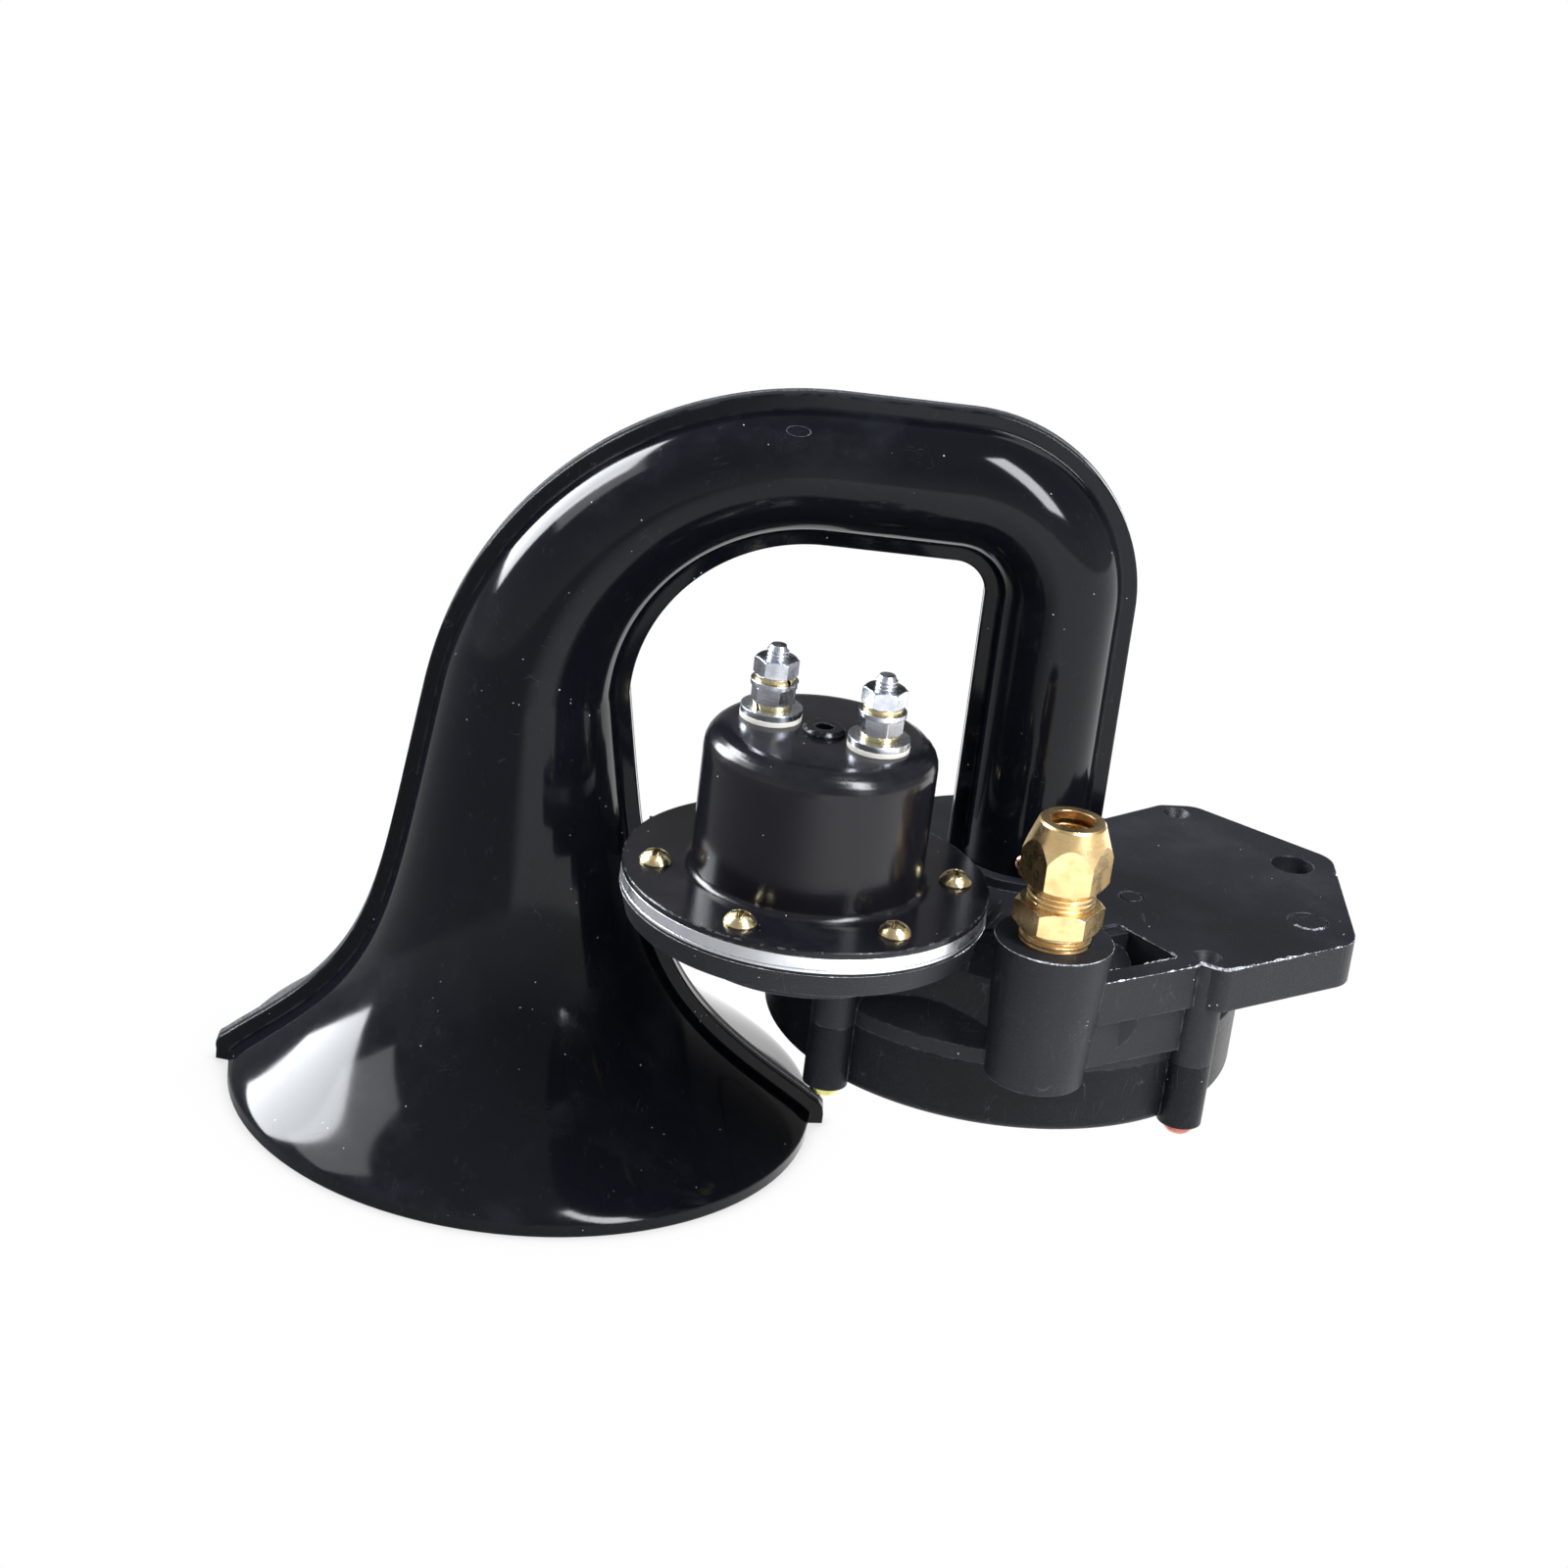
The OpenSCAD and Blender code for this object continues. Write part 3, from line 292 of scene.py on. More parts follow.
def gloss_black(name, seam_low=None, seam_high=None):
    """Bluish black high-gloss moulding, dusty, lightly scratched, and gritty between two depths in Y."""
    material, tree, shader = finish_of(name)
    grain = use(tree, fine_grain, Scale=900.0, Depth=0.02)
    film = use(tree, dust, Film=0.5, Film_Scale=45.0, Speck_Scale=850.0, Specks=0.06)
    hair = use(tree, hair_scratches, Scale=150.0, Fineness=0.008, Amount=0.4)["Scratch"]
    edges = use(tree, edge_rub, Width=0.6 * MM, Patch_Scale=300.0)
    colour = blend_colours(tree, grain["Tone"], srgb("06070a"), srgb("0a0b10"))
    colour = laid_over(tree, colour, film["Film"], 0.04, "8d93a0")
    colour = laid_over(tree, colour, edges["Rub"], 0.22, "6a6e78")
    colour = laid_over(tree, colour, hair, 0.07, "8a8f98")
    colour = laid_over(tree, colour, film["Specks"], 0.5, "d8dade")
    rough = sums(tree, "MULTIPLY_ADD", film["Film"], 0.16, 0.09)
    rough = sums(tree, "MULTIPLY_ADD", hair, 0.22, rough)
    if seam_low is not None:
        seam = within(tree, apart(tree, object_place(tree))[1], seam_low, seam_high)
        gritty = span(tree, noise(tree, place(tree), 1600.0, 4), 0.4, 0.7, 0.25, 0.9)
        colour = laid_over(tree, colour, times(tree, seam, gritty), 0.3, "868a92")
        rough = sums(tree, "MAXIMUM", rough, times(tree, seam, 0.5))
    into(tree, shader, Base_Color=colour, Roughness=rough, Specular_IOR_Level=0.17,
         Normal=bumped(tree, grain["Height"], 0.05 * MM, 0.5 * MM))
    return material


def grained_black(name, base_low, base_high, film, rough_low, gloss):
    """Semi-matt black moulding of the head, with pale worn edges and grit."""
    material, tree, shader = finish_of(name)
    grain = use(tree, fine_grain, Scale=2600.0, Depth=0.7)
    dirt = use(tree, dust, Film=film, Film_Scale=55.0, Speck_Scale=800.0, Specks=0.06)
    edges = use(tree, edge_rub, Width=0.5 * MM, Patch_Scale=420.0)
    hair = use(tree, hair_scratches, Scale=55.0, Fineness=0.008, Amount=0.5)["Scratch"]
    colour = blend_colours(tree, grain["Tone"], srgb(base_low), srgb(base_high))
    colour = laid_over(tree, colour, grain["Grit"], 0.07, "6d7078")
    colour = laid_over(tree, colour, dirt["Film"], 0.06, "a2a4a8")
    colour = laid_over(tree, colour, edges["Rub"], 0.3, "6f727a")
    colour = laid_over(tree, colour, hair, 0.12, "9498a0")
    colour = laid_over(tree, colour, dirt["Specks"], 0.7, "dcdde0")
    rough = sums(tree, "MULTIPLY_ADD", grain["Tone"], 0.22, rough_low)
    rough = sums(tree, "MULTIPLY_ADD", dirt["Film"], 0.15, rough)
    into(tree, shader, Base_Color=colour, Roughness=rough, Specular_IOR_Level=gloss,
         Normal=bumped(tree, grain["Height"], 0.12 * MM, 0.4 * MM))
    return material


def satin_black_paint(name):
    """Black paint on the pressed cap, dusty and chipped to bare metal at its edges."""
    material, tree, shader = finish_of(name)
    grain = use(tree, fine_grain, Scale=1800.0, Depth=0.2)
    dirt = use(tree, dust, Film=0.3, Film_Scale=90.0, Speck_Scale=900.0, Specks=0.09)
    edges = use(tree, edge_rub, Width=0.7 * MM, Patch_Scale=700.0)
    chips = span(tree, edges["Rub"], 0.55, 0.75)
    colour = blend_colours(tree, grain["Tone"], srgb("09090d"), srgb("101015"))
    colour = laid_over(tree, colour, dirt["Film"], 0.05, "a5a6a8")
    colour = laid_over(tree, colour, dirt["Specks"], 0.6, "d2d3d6")
    colour = laid_over(tree, colour, chips, 0.5, "8f9297")
    rough = sums(tree, "MULTIPLY_ADD", dirt["Film"], 0.12, 0.17)
    into(tree, shader, Base_Color=colour, Roughness=rough, Metallic=times(tree, chips, 0.6),
         Specular_IOR_Level=0.28, Normal=bumped(tree, grain["Height"], 0.08 * MM, 0.6 * MM))
    return material


def plated(name, base, stain, rough_low, rough_span, ring_scale=2600.0, edge="f4f4f2", rings=0.5):
    """Plated or turned metal: fine rings, cloudy stain and bright rubbed edges."""
    edge_radius = 0.25 * MM
    material, tree, shader = finish_of(name)
    turned = use(tree, turning_rings, Scale=ring_scale, Depth=rings)
    cloud = span(tree, noise(tree, place(tree), 260.0, 5, 0.65), 0.35, 0.72)
    edges = use(tree, edge_rub, Width=edge_radius * 1.4, Patch_Scale=900.0)
    colour = blend_colours(tree, cloud, srgb(base), srgb(stain))
    colour = laid_over(tree, colour, turned["Tone"], 0.25, edge)
    colour = laid_over(tree, colour, edges["Rub"], 0.6, edge)
    rough = sums(tree, "MULTIPLY_ADD", cloud, rough_span, rough_low)
    into(tree, shader, Base_Color=colour, Roughness=rough, Metallic=1.0,
         Normal=bumped(tree, turned["Height"], 0.04 * MM, edge_radius))
    return material


def chromated_screws(name, plain, odd=None, odd_low=None, odd_high=None):
    """Passivated screws with painted shade in their hollows; those inside the given box in plan have the
    odd colours, without that shade.
    """
    material, tree, shader = finish_of(name)
    cloud = span(tree, noise(tree, place(tree), 480.0, 4), 0.38, 0.66)
    bloom = span(tree, noise(tree, place(tree), 900.0, 4), 0.45, 0.7)
    colour = blend_colours(tree, cloud, srgb(plain[0]), srgb(plain[1]))
    colour = laid_over(tree, colour, bloom, 0.3, "b9d3a4")
    # Painted shade: the plain colours turn dark brown in hollows, where ambient occlusion finds other
    # surfaces within 1.2 mm.
    hollow_shade = put(tree, "AmbientOcclusion", {"samples": 6}, Distance=1.2 * MM).outputs["AO"]
    colour = blend_colours(tree, span(tree, hollow_shade, 0.25, 0.8, 0.85, 0.0), colour, srgb("3f2c10"))
    if odd:
        where = apart(tree, object_place(tree))
        in_x, in_y = (within(tree, where[axis], odd_low[axis], odd_high[axis]) for axis in (0, 1))
        other = blend_colours(tree, cloud, srgb(odd[0]), srgb(odd[1]))
        colour = blend_colours(tree, times(tree, in_x, in_y), colour, other)
    edges = use(tree, edge_rub, Width=0.3 * MM, Patch_Scale=1200.0)
    colour = laid_over(tree, colour, edges["Rub"], 0.5, "f6efd8")
    rough = sums(tree, "MULTIPLY_ADD", cloud, 0.16, 0.2)
    into(tree, shader, Base_Color=colour, Roughness=rough, Metallic=1.0,
         Normal=bumped(tree, bloom, 0.03 * MM, 0.2 * MM))
    return material


def rubber(name):
    """Dull black rubber with an uneven skin."""
    material, tree, shader = finish_of(name)
    grain = use(tree, fine_grain, Scale=2200.0, Depth=0.6)
    colour = blend_colours(tree, grain["Tone"], srgb("131315"), srgb("26262a"))
    into(tree, shader, Base_Color=colour, Roughness=sums(tree, "MULTIPLY_ADD", grain["Tone"], 0.2, 0.6),
         Normal=bumped(tree, grain["Height"], 0.1 * MM, 0.1 * MM))
    return material


def pressed_fibre(name):
    """Whitish insulating washers and bobbin, with flecks and greasy edges."""
    material, tree, shader = finish_of(name)
    grain = use(tree, fine_grain, Scale=3000.0, Depth=0.6)
    edges = use(tree, edge_rub, Width=0.3 * MM, Patch_Scale=800.0)
    flecks = span(tree, noise(tree, place(tree, (1, 1, 3)), 1500.0, 4), 0.52, 0.7)
    colour = blend_colours(tree, grain["Tone"], srgb("b3afa6"), srgb("d2cec6"))
    colour = laid_over(tree, colour, flecks, 0.3, "9c9482")
    colour = laid_over(tree, colour, edges["Rub"], 0.4, "8a8478")
    into(tree, shader, Base_Color=colour, Roughness=sums(tree, "MULTIPLY_ADD", flecks, 0.15, 0.5),
         Normal=bumped(tree, grain["Height"], 0.08 * MM, 0.2 * MM))
    return material


def wound_wire(name):
    """Enamelled copper wire: close turns drawn as a wave along Z, with painted shade in the grooves
    between them.
    """
    material, tree, shader = finish_of(name)
    turns = put(tree, "TexWave", {"wave_type": "BANDS", "bands_direction": "Z", "wave_profile": "SIN"},
                Vector=place(tree), Scale=640.0, Distortion=0.6, Detail=2.0).outputs[1]
    tone = noise(tree, place(tree), 300.0, 3)
    colour = blend_colours(tree, tone, srgb("7d3a19"), srgb("b8642f"))
    # Painted shade: the grooves between the turns are darkened towards dark brown copper.
    colour = blend_colours(tree, span(tree, turns, 0.0, 0.5, 0.7, 0.0), colour, srgb("32150a"))
    into(tree, shader, Base_Color=colour, Metallic=1.0, Roughness=0.3, Coat_Weight=0.4,
         Normal=bumped(tree, turns, 0.2 * MM))
    return material


def torn_plastic(name, low, high):
    """Broken or rubbed black plastic, between two greys."""
    material, tree, shader = finish_of(name)
    tone = noise(tree, place(tree), 1500.0, 3)
    colour = blend_colours(tree, span(tree, tone, 0.35, 0.65), srgb(low), srgb(high))
    into(tree, shader, Base_Color=colour, Roughness=0.45, Normal=bumped(tree, tone, 0.05 * MM))
    return material


trumpet_gloss = gloss_black("glossy black moulding")
trumpet_gloss_back = gloss_black("glossy black moulding with gritty seam edge",
                                 trumpet_plane_y + 0.2 * MM, trumpet_plane_y + 2.15 * MM)
head_grain = grained_black("grained black moulding", "07080d", "111319",
                           film=0.22, rough_low=0.4, gloss=0.3)
cover_grain = grained_black("smoother black cover moulding", "06070a", "0c0d12",
                            film=0.2, rough_low=0.34, gloss=0.15)
cap_paint = satin_black_paint("satin black paint")
bright_zinc = plated("bright zinc plating", "cbd0d9", "a3a9b5", rough_low=0.2, rough_span=0.18, rings=0.4)
pale_zinc = plated("pale zinc plate edge", "eef2f8", "cdd3de", rough_low=0.24, rough_span=0.16)
turned_brass = plated("turned brass", "e9c98f", "d6ad6d", rough_low=0.24, rough_span=0.14,
                      ring_scale=2200.0, edge="fff0cf")
soft_iron = plated("turned soft iron", "8f9297", "6f7277", rough_low=0.3, rough_span=0.2)
spring_steel = plated("bright spring steel", "b9bdc2", "93989e", rough_low=0.18, rough_span=0.15)
sealer_grey = plated("dull grey sealer", "6d7078", "4a4d55", rough_low=0.4, rough_span=0.25)

# The cover screw at the front right is copper-pink, and the other three are yellow
screws_low, screws_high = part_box("cover_screws")
cover_screw_zinc = chromated_screws(
    "yellow zinc cover screws", ("cfc06a", "a4ad62"), ("a55d52", "7d423d"),
    (screws_high[0] - 9 * MM, screws_low[1] - MM), (screws_high[0] + MM, drum_axis.y))
yellow_zinc = chromated_screws("yellow zinc screws", ("ddd0a2", "c9ad86"))
copper_zinc = chromated_screws("copper-pink screw", ("c99a88", "a5716a"))
gasket_black = rubber("black gasket rubber")
insulator = pressed_fibre("whitish insulator")
copper_wire = wound_wire("enamelled copper wire")
flash_finish = torn_plastic("pale torn flash", "3c3d43", "b4b6bc")
dull_line_finish = torn_plastic("dull mould line", "16171c", "3e4048")

FINISHES = {
    trumpet_gloss: ["trumpet_front_half"],
    trumpet_gloss_back: ["trumpet_back_half"],
    head_grain: ["head_body", "nozzle_insert"],
    cover_grain: ["bottom_cover", "press_ring"],
    cap_paint: ["solenoid_cap", "cap_rivet"],
    pale_zinc: ["base_plate"],
    bright_zinc: ["terminal_studs", "contact_washers", "lower_nuts", "clamp_washers", "upper_nuts"],
    yellow_zinc: ["flange_screws", "lower_spring_washers", "upper_spring_washers"],
    cover_screw_zinc: ["cover_screws"],
    copper_zinc: ["leg_screw"],
    turned_brass: ["valve_seat", "guide_sleeve", "fitting_body", "ferrule", "compression_nut"],
    soft_iron: ["fixed_core", "plunger"],
    spring_steel: ["diaphragm", "return_spring"],
    gasket_black: ["diaphragm_gasket", "valve_gasket", "plunger_seal"],
    insulator: ["coil_bobbin", "inner_insulators", "terminal_bushes"],
    copper_wire: ["coil_winding"],
}
for material, names in FINISHES.items():
    for name in names:
        for node_slot in parts[name].material_slots:
            node_slot.material = material


# Pieces built in mesh code

def mesh_piece(name, verts, faces, material, body="horn", smooth=True):
    """A piece of the object, from points and faces, that rides on a body."""
    mesh = bpy.data.meshes.new(name)
    mesh.from_pydata([tuple(v) for v in verts], [], faces)
    mesh.validate()
    tidy = bmesh.new()
    tidy.from_mesh(mesh)
    bmesh.ops.recalc_face_normals(tidy, faces=tidy.faces)
    tidy.to_mesh(mesh)
    tidy.free()
    for face in mesh.polygons:
        face.use_smooth = smooth
    mesh.materials.append(material)
    piece = bpy.data.objects.new(name, mesh)
    bpy.context.scene.collection.objects.link(piece)
    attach(piece, body)
    return piece


# Trumpet halves on the CAD's own sections, with finer steps and moulded corners, in millimetres

mouth_r, mouth_drop, rim_band = 57.2, 60.2, 2.5
neck_r, bell_taper, flare_len, flare_power = 16.4, 0.15, 16.8, 1.3
neck_offset, mouth_shift, shift_len = 96.6, 6.2, 32.0
leg_r, arch_r, arch_rise, foot_depth = 11.4, 11.7, 74.3, 6.0
corner_bend_r, neck_bend_r = 20.3, 33.2
trumpet_wall, seam_w, seam_t, seam_ear_z = 2.2, 2.7, 2.0, 3.2
seam_foot_z, seam_lead_in = 2.3, 0.5
rim_wall, rim_rounding, rounding_start = trumpet_wall * 1.8, 0.25, 0.85
RIM_LEVELS = (0.12, 0.25, 0.45, 0.6, 0.75, rounding_start, 0.93, 1)
leg_steps, corner_steps, arch_steps, bend_steps, bell_steps = 11, 28, 8, 56, 90
bell_top_z = arch_rise - arch_r - seam_w - neck_bend_r
bell_h = bell_top_z + mouth_drop - rim_band
corner_z = arch_rise - corner_bend_r
bend_x = -neck_offset + neck_r + seam_w + neck_bend_r
quarter = math.pi / 2


def bell_r(s):
    """Outer radius of the bell at a height above its rim band."""
    flare = (mouth_r - neck_r - bell_taper * bell_h) * math.exp(-(max(s, 0) / flare_len) ** flare_power)
    return neck_r + bell_taper * (bell_h - s) + flare


def bell_slope(s):
    """How fast the bell widens downwards at that height."""
    step = 0.25
    return (bell_r(s - step) - bell_r(s + step)) / (2 * step)


def bell_x(s):
    """Place of the bell's axis, which drifts towards the mouth."""
    return -neck_offset + mouth_shift * (math.exp(-max(s, 0) / shift_len) - math.exp(-bell_h / shift_len))


def seam_reach(s):
    """Reach of the seam flange from the bell's axis, with its round ear at the rim."""
    off = s + rim_band - seam_ear_z
    if off < -seam_w + 0.01:
        return mouth_r
    plain = bell_r(s) + seam_w * math.sqrt(1 + bell_slope(s) ** 2)
    room = seam_w ** 2 - off ** 2
    ear = mouth_r + math.sqrt(room) if room > 0 else 0
    return max(min(plain, mouth_r + seam_w), ear)


def trumpet_sections():
    """Centre, direction to the outer edge, outer radius, inner radius and reach of each section."""
    found = []

    def add(x, z, angle, r, inner, reach):
        found.append(((x, z), (math.cos(angle), math.sin(angle)), r, inner, reach))

    for z in (-foot_depth, seam_foot_z):
        add(0, z, 0, leg_r, leg_r - trumpet_wall, leg_r)
    seam_start = seam_foot_z + seam_lead_in
    for i in range(leg_steps):
        z = seam_start + (corner_z - seam_start) * i / leg_steps
        add(0, z, 0, leg_r, leg_r - trumpet_wall, leg_r + seam_w)
    for i in range(corner_steps + 1):
        a = quarter * i / corner_steps
        r = leg_r + (arch_r - leg_r) * i / corner_steps
        add(-corner_bend_r + corner_bend_r * math.cos(a), corner_z + corner_bend_r * math.sin(a), a,
            r, r - trumpet_wall, r + seam_w)
    for i in range(1, arch_steps):
        x = -corner_bend_r + (bend_x + corner_bend_r) * i / arch_steps
        add(x, arch_rise, quarter, arch_r, arch_r - trumpet_wall, arch_r + seam_w)
    for i in range(bend_steps + 1):
        a = quarter * (1 + i / bend_steps)
        r = arch_r + (neck_r - arch_r) * (i / bend_steps) ** 2
        out = neck_bend_r + seam_w + r
        add(bend_x + out * math.cos(a), bell_top_z + out * math.sin(a), a, r, r - trumpet_wall, r + seam_w)
    for i in range(1, bell_steps + 1):
        s = bell_h * (1 - i / bell_steps) ** 1.5
        add(bell_x(s), -mouth_drop + rim_band + s, math.pi, bell_r(s),
            bell_r(s) - trumpet_wall * math.sqrt(1 + bell_slope(s) ** 2), seam_reach(s))
    for low in RIM_LEVELS:
        s = -rim_band * low
        rounding = rim_rounding * max(0, (low - rounding_start) / (1 - rounding_start)) ** 2
        add(bell_x(0), -mouth_drop + rim_band + s, math.pi, mouth_r - rounding,
            mouth_r - rim_wall + rounding, seam_reach(s) - rounding)
    return found


def half_outline(r, inner, reach):
    """Outer chain from the seam over the half tube to the seam, and its inner chain back."""
    around, corner_points = 56, 5
    root = math.sqrt(r * r - seam_t * seam_t)
    reach = max(reach, root)
    spare = reach - root
    edge, fillet = min(0.28, spare * 0.25), min(0.5, spare * 0.3)
    centre_x = math.sqrt((r + fillet) ** 2 - (seam_t + fillet) ** 2)
    start = math.atan2(seam_t + fillet, centre_x)
    chain = [(reach, 0.0), (reach, (seam_t - edge) * 0.5)]
    for i in range(corner_points):
        b = quarter * i / (corner_points - 1)
        chain.append((reach - edge + edge * math.cos(b), seam_t - edge + edge * math.sin(b)))
    for i in range(corner_points):
        b = -quarter - (quarter - start) * i / (corner_points - 1)
        chain.append((centre_x + fillet * math.cos(b), seam_t + fillet + fillet * math.sin(b)))
    side = len(chain)
    for i in range(1, around):
        b = start + (math.pi - 2 * start) * i / around
        chain.append((r * math.cos(b), r * math.sin(b)))
    chain += [(-x, y) for x, y in reversed(chain[:side])]
    total = len(chain) - 1
    for i in range(total + 1):
        b = math.pi * (1 - i / total)
        chain.append((inner * math.cos(b), inner * math.sin(b)))
    return chain


def trumpet_half(name, node_name, sign, material):
    """One moulded half as a closed smooth mesh that stands for its CAD node."""
    foot = Vector((drum_axis.x, trumpet_plane_y, 0))
    low, high = (Vector(c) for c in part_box(node_name))
    rings = []
    for (x, z), (dx, dz), r, inner, reach in trumpet_sections():
        ring = [foot + Vector((x + u * dx, sign * v, z + u * dz)) * MM
                for u, v in half_outline(r, inner, reach)]
        rings.append([Vector(min(max(p[k], low[k]), high[k]) for k in range(3)) for p in ring])
    size = len(rings[0])
    verts = [p for ring in rings for p in ring]
    faces = []
    for i in range(len(rings) - 1):
        for j in range(size):
            k = (j + 1) % size
            faces.append((i * size + j, i * size + k, (i + 1) * size + k, (i + 1) * size + j))
    for base in (0, (len(rings) - 1) * size):
        for j in range(size // 2 - 1):
            faces.append((base + j, base + j + 1, base + size - 2 - j, base + size - 1 - j))
    piece = mesh_piece(name, verts, faces, material)
    piece.data.set_sharp_from_angle(angle=math.radians(34))
    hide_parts(node_name)
    return piece


front_half = trumpet_half("moulded_front_half", "trumpet_front_half", -1, trumpet_gloss)
trumpet_half("moulded_back_half", "trumpet_back_half", 1, trumpet_gloss_back)


# Torn flash on two edges of the head

def hard_edges(node_name, wanted, angle=40):
    """Chains of points along a CAD node's hard edges, for the edges whose middle is wanted."""
    shape = bmesh.new()
    shape.from_mesh(parts[node_name].data)
    bmesh.ops.remove_doubles(shape, verts=shape.verts, dist=1e-6)
    links = {}
    for edge in shape.edges:
        if len(edge.link_faces) != 2 or edge.calc_face_angle(0) < math.radians(angle):
            continue
        a, b = (v.co.copy() for v in edge.verts)
        if not wanted((a + b) / 2, edge.link_faces[0].normal, edge.link_faces[1].normal):
            continue
        ka, kb = (tuple(round(x, 6) for x in p) for p in (a, b))
        links.setdefault(ka, set()).add(kb)
        links.setdefault(kb, set()).add(ka)
    shape.free()
    chains, used = [], set()
    for start in sorted(links, key=lambda k: (len(links[k]) != 1, k)):
        here, chain = start, [start]
        while True:
            nexts = [k for k in sorted(links[here]) if (min(here, k), max(here, k)) not in used]
            if not nexts:
                break
            used.add((min(here, nexts[0]), max(here, nexts[0])))
            here = nexts[0]
            chain.append(here)
        if len(chain) > 1:
            chains.append([Vector(k) for k in chain])
    return chains


def evenly(chain, step):
    """The same line with points a step apart."""
    out, carry = [chain[0].copy()], 0.0
    for a, b in zip(chain, chain[1:]):
        length = (b - a).length
        if length < 1e-9:
            continue
        s = step - carry
        while s <= length:
            out.append(a.lerp(b, s / length))
            s += step
        carry = length - (s - step)
    out.append(chain[-1].copy())
    return out


def ragged_flash(name, chains, material, centre, height, seed, gaps):
    """Thin torn flash on an edge round a centre: a low ribbon, up to a height in mm, with gaps."""
    step, thin, spread, sink, lean = 0.35, 0.06, 0.22, 0.05, 0.6
    least_points, first_level, fall, rise = 4, 0.3, 0.34, 0.32
    dice = random.Random(seed)
    lift = Vector((0, 0, 1))
    verts, faces = [], []
    for chain in chains:
        points = evenly(chain, step * MM)
        if len(points) < least_points:
            continue
        tall, levels = first_level, []
        for _ in points:
            tall += dice.uniform(-fall, rise)
            tall = min(max(tall, -gaps), 1.0)
            levels.append(max(tall, 0.0))
        first = len(verts)
        for point, level in zip(points, levels):
            away = Vector((point.x - centre.x, point.y - centre.y, 0)).normalized()
            reach = (height * level - thin) * MM
            width = (thin + spread * level) * MM
            outer = min(thin * MM, point.y - cad_box[0][1], cad_box[1][0] - point.x)
            verts += [point - away * width - lift * sink * MM,
                      point + lift * reach * lean,
                      point + away * outer - lift * width]
        for i in range(len(points) - 1):
            a, b = first + 3 * i, first + 3 * (i + 1)
            faces += [(a, a + 1, b + 1, b), (a + 1, a + 2, b + 2, b + 1), (a + 2, a, b, b + 2)]
        last = first + 3 * (len(points) - 1)
        faces += [(first, first + 2, first + 1), (last, last + 1, last + 2)]
    return mesh_piece(name, verts, faces, material, smooth=False)


boss_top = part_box("head_body")[1][2]


def on_plate_front(point, normal_a, normal_b):
    """Top edge of the bracket plate, on the side of the inlet and past the drum."""
    level = abs(point.z) < 0.3 * MM
    in_front = point.y < drum_axis.y - 15 * MM and point.x > inlet_axis.x + 6 * MM
    crease = max(normal_a.z, normal_b.z) > 0.9 and min(abs(normal_a.z), abs(normal_b.z)) < 0.3
    past_drum = point.x - drum_axis.x - 2.2 * (point.y - drum_axis.y) > 75 * MM
    return level and in_front and crease and past_drum


def on_boss_rim(point, normal_a, normal_b):
    """Outer edge of the inlet boss's top face."""
    return abs(point.z - boss_top) < 0.2 * MM and (point.xy - inlet_axis.xy).length > 9 * MM


ragged_flash("plate_edge_flash", hard_edges("head_body", on_plate_front), flash_finish, drum_axis,
             height=0.8, seed=11, gaps=0.3)
ragged_flash("inlet_boss_flash", hard_edges("head_body", on_boss_rim), flash_finish, inlet_axis,
             height=0.3, seed=5, gaps=0.6)


# Grey run of sealer at the cap's foot

def foot_ring(name, centre, radius, z, thick, material, seed):
    """A thin uneven ring that lies in the corner between the can and its flange."""
    around, arc_points = 180, 5
    dice = random.Random(seed)
    verts, faces = [], []
    for i in range(around):
        a = 2 * math.pi * i / around
        size = thick * (0.75 + 0.35 * dice.random())
        for j in range(arc_points):
            b = quarter * j / (arc_points - 1)
            r = radius + size * (1 - math.sin(b))
            verts.append((centre.x + r * math.cos(a), centre.y + r * math.sin(a),
                          z + size * (1 - math.cos(b))))
    for i in range(around):
        for j in range(arc_points - 1):
            a, b = i * arc_points + j, (i + 1) % around * arc_points + j
            faces.append((a, a + 1, b + 1, b))
    return mesh_piece(name, verts, faces, material)


can_r, flange_t, sealer_t = 21.0 * MM, 1.18 * MM, 0.35 * MM
foot_ring("cap_foot_sealer", valve_axis, can_r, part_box("solenoid_cap")[0][2] + flange_t, sealer_t,
          sealer_grey, 3)


# Camera, as the photograph was taken

photo_px, focal_px, sensor = 1600, 3700, 36
eye = Vector((-121.953, -648.035, 278.28)) * MM
forward = Vector((0.03034, 0.92107, -0.38821)).normalized()
roll = math.radians(7.067)
level_right = forward.cross(Vector((0, 0, 1))).normalized()
level_up = level_right.cross(forward)
image_right = level_right * math.cos(roll) + level_up * math.sin(roll)
image_up = level_up * math.cos(roll) - level_right * math.sin(roll)

camera_data = bpy.data.cameras.new("camera")
camera_data.sensor_width = sensor
camera_data.lens = sensor * focal_px / photo_px
camera_data.clip_start, camera_data.clip_end = 0.05, 20
camera = bpy.data.objects.new("camera", camera_data)
camera.matrix_world = Matrix((
    (image_right.x, image_up.x, -forward.x, eye.x),
    (image_right.y, image_up.y, -forward.y, eye.y),
    (image_right.z, image_up.z, -forward.z, eye.z),
    (0, 0, 0, 1)))
bpy.context.scene.collection.objects.link(camera)
bpy.context.scene.camera = camera


def seen_at(px, py):
    """Direction of the camera's ray through a pixel of the photograph."""
    centre = photo_px / 2
    return (forward * focal_px + image_right * (px - centre) - image_up * (py - centre)).normalized()


# Mark that a mould left on the trumpet's arch

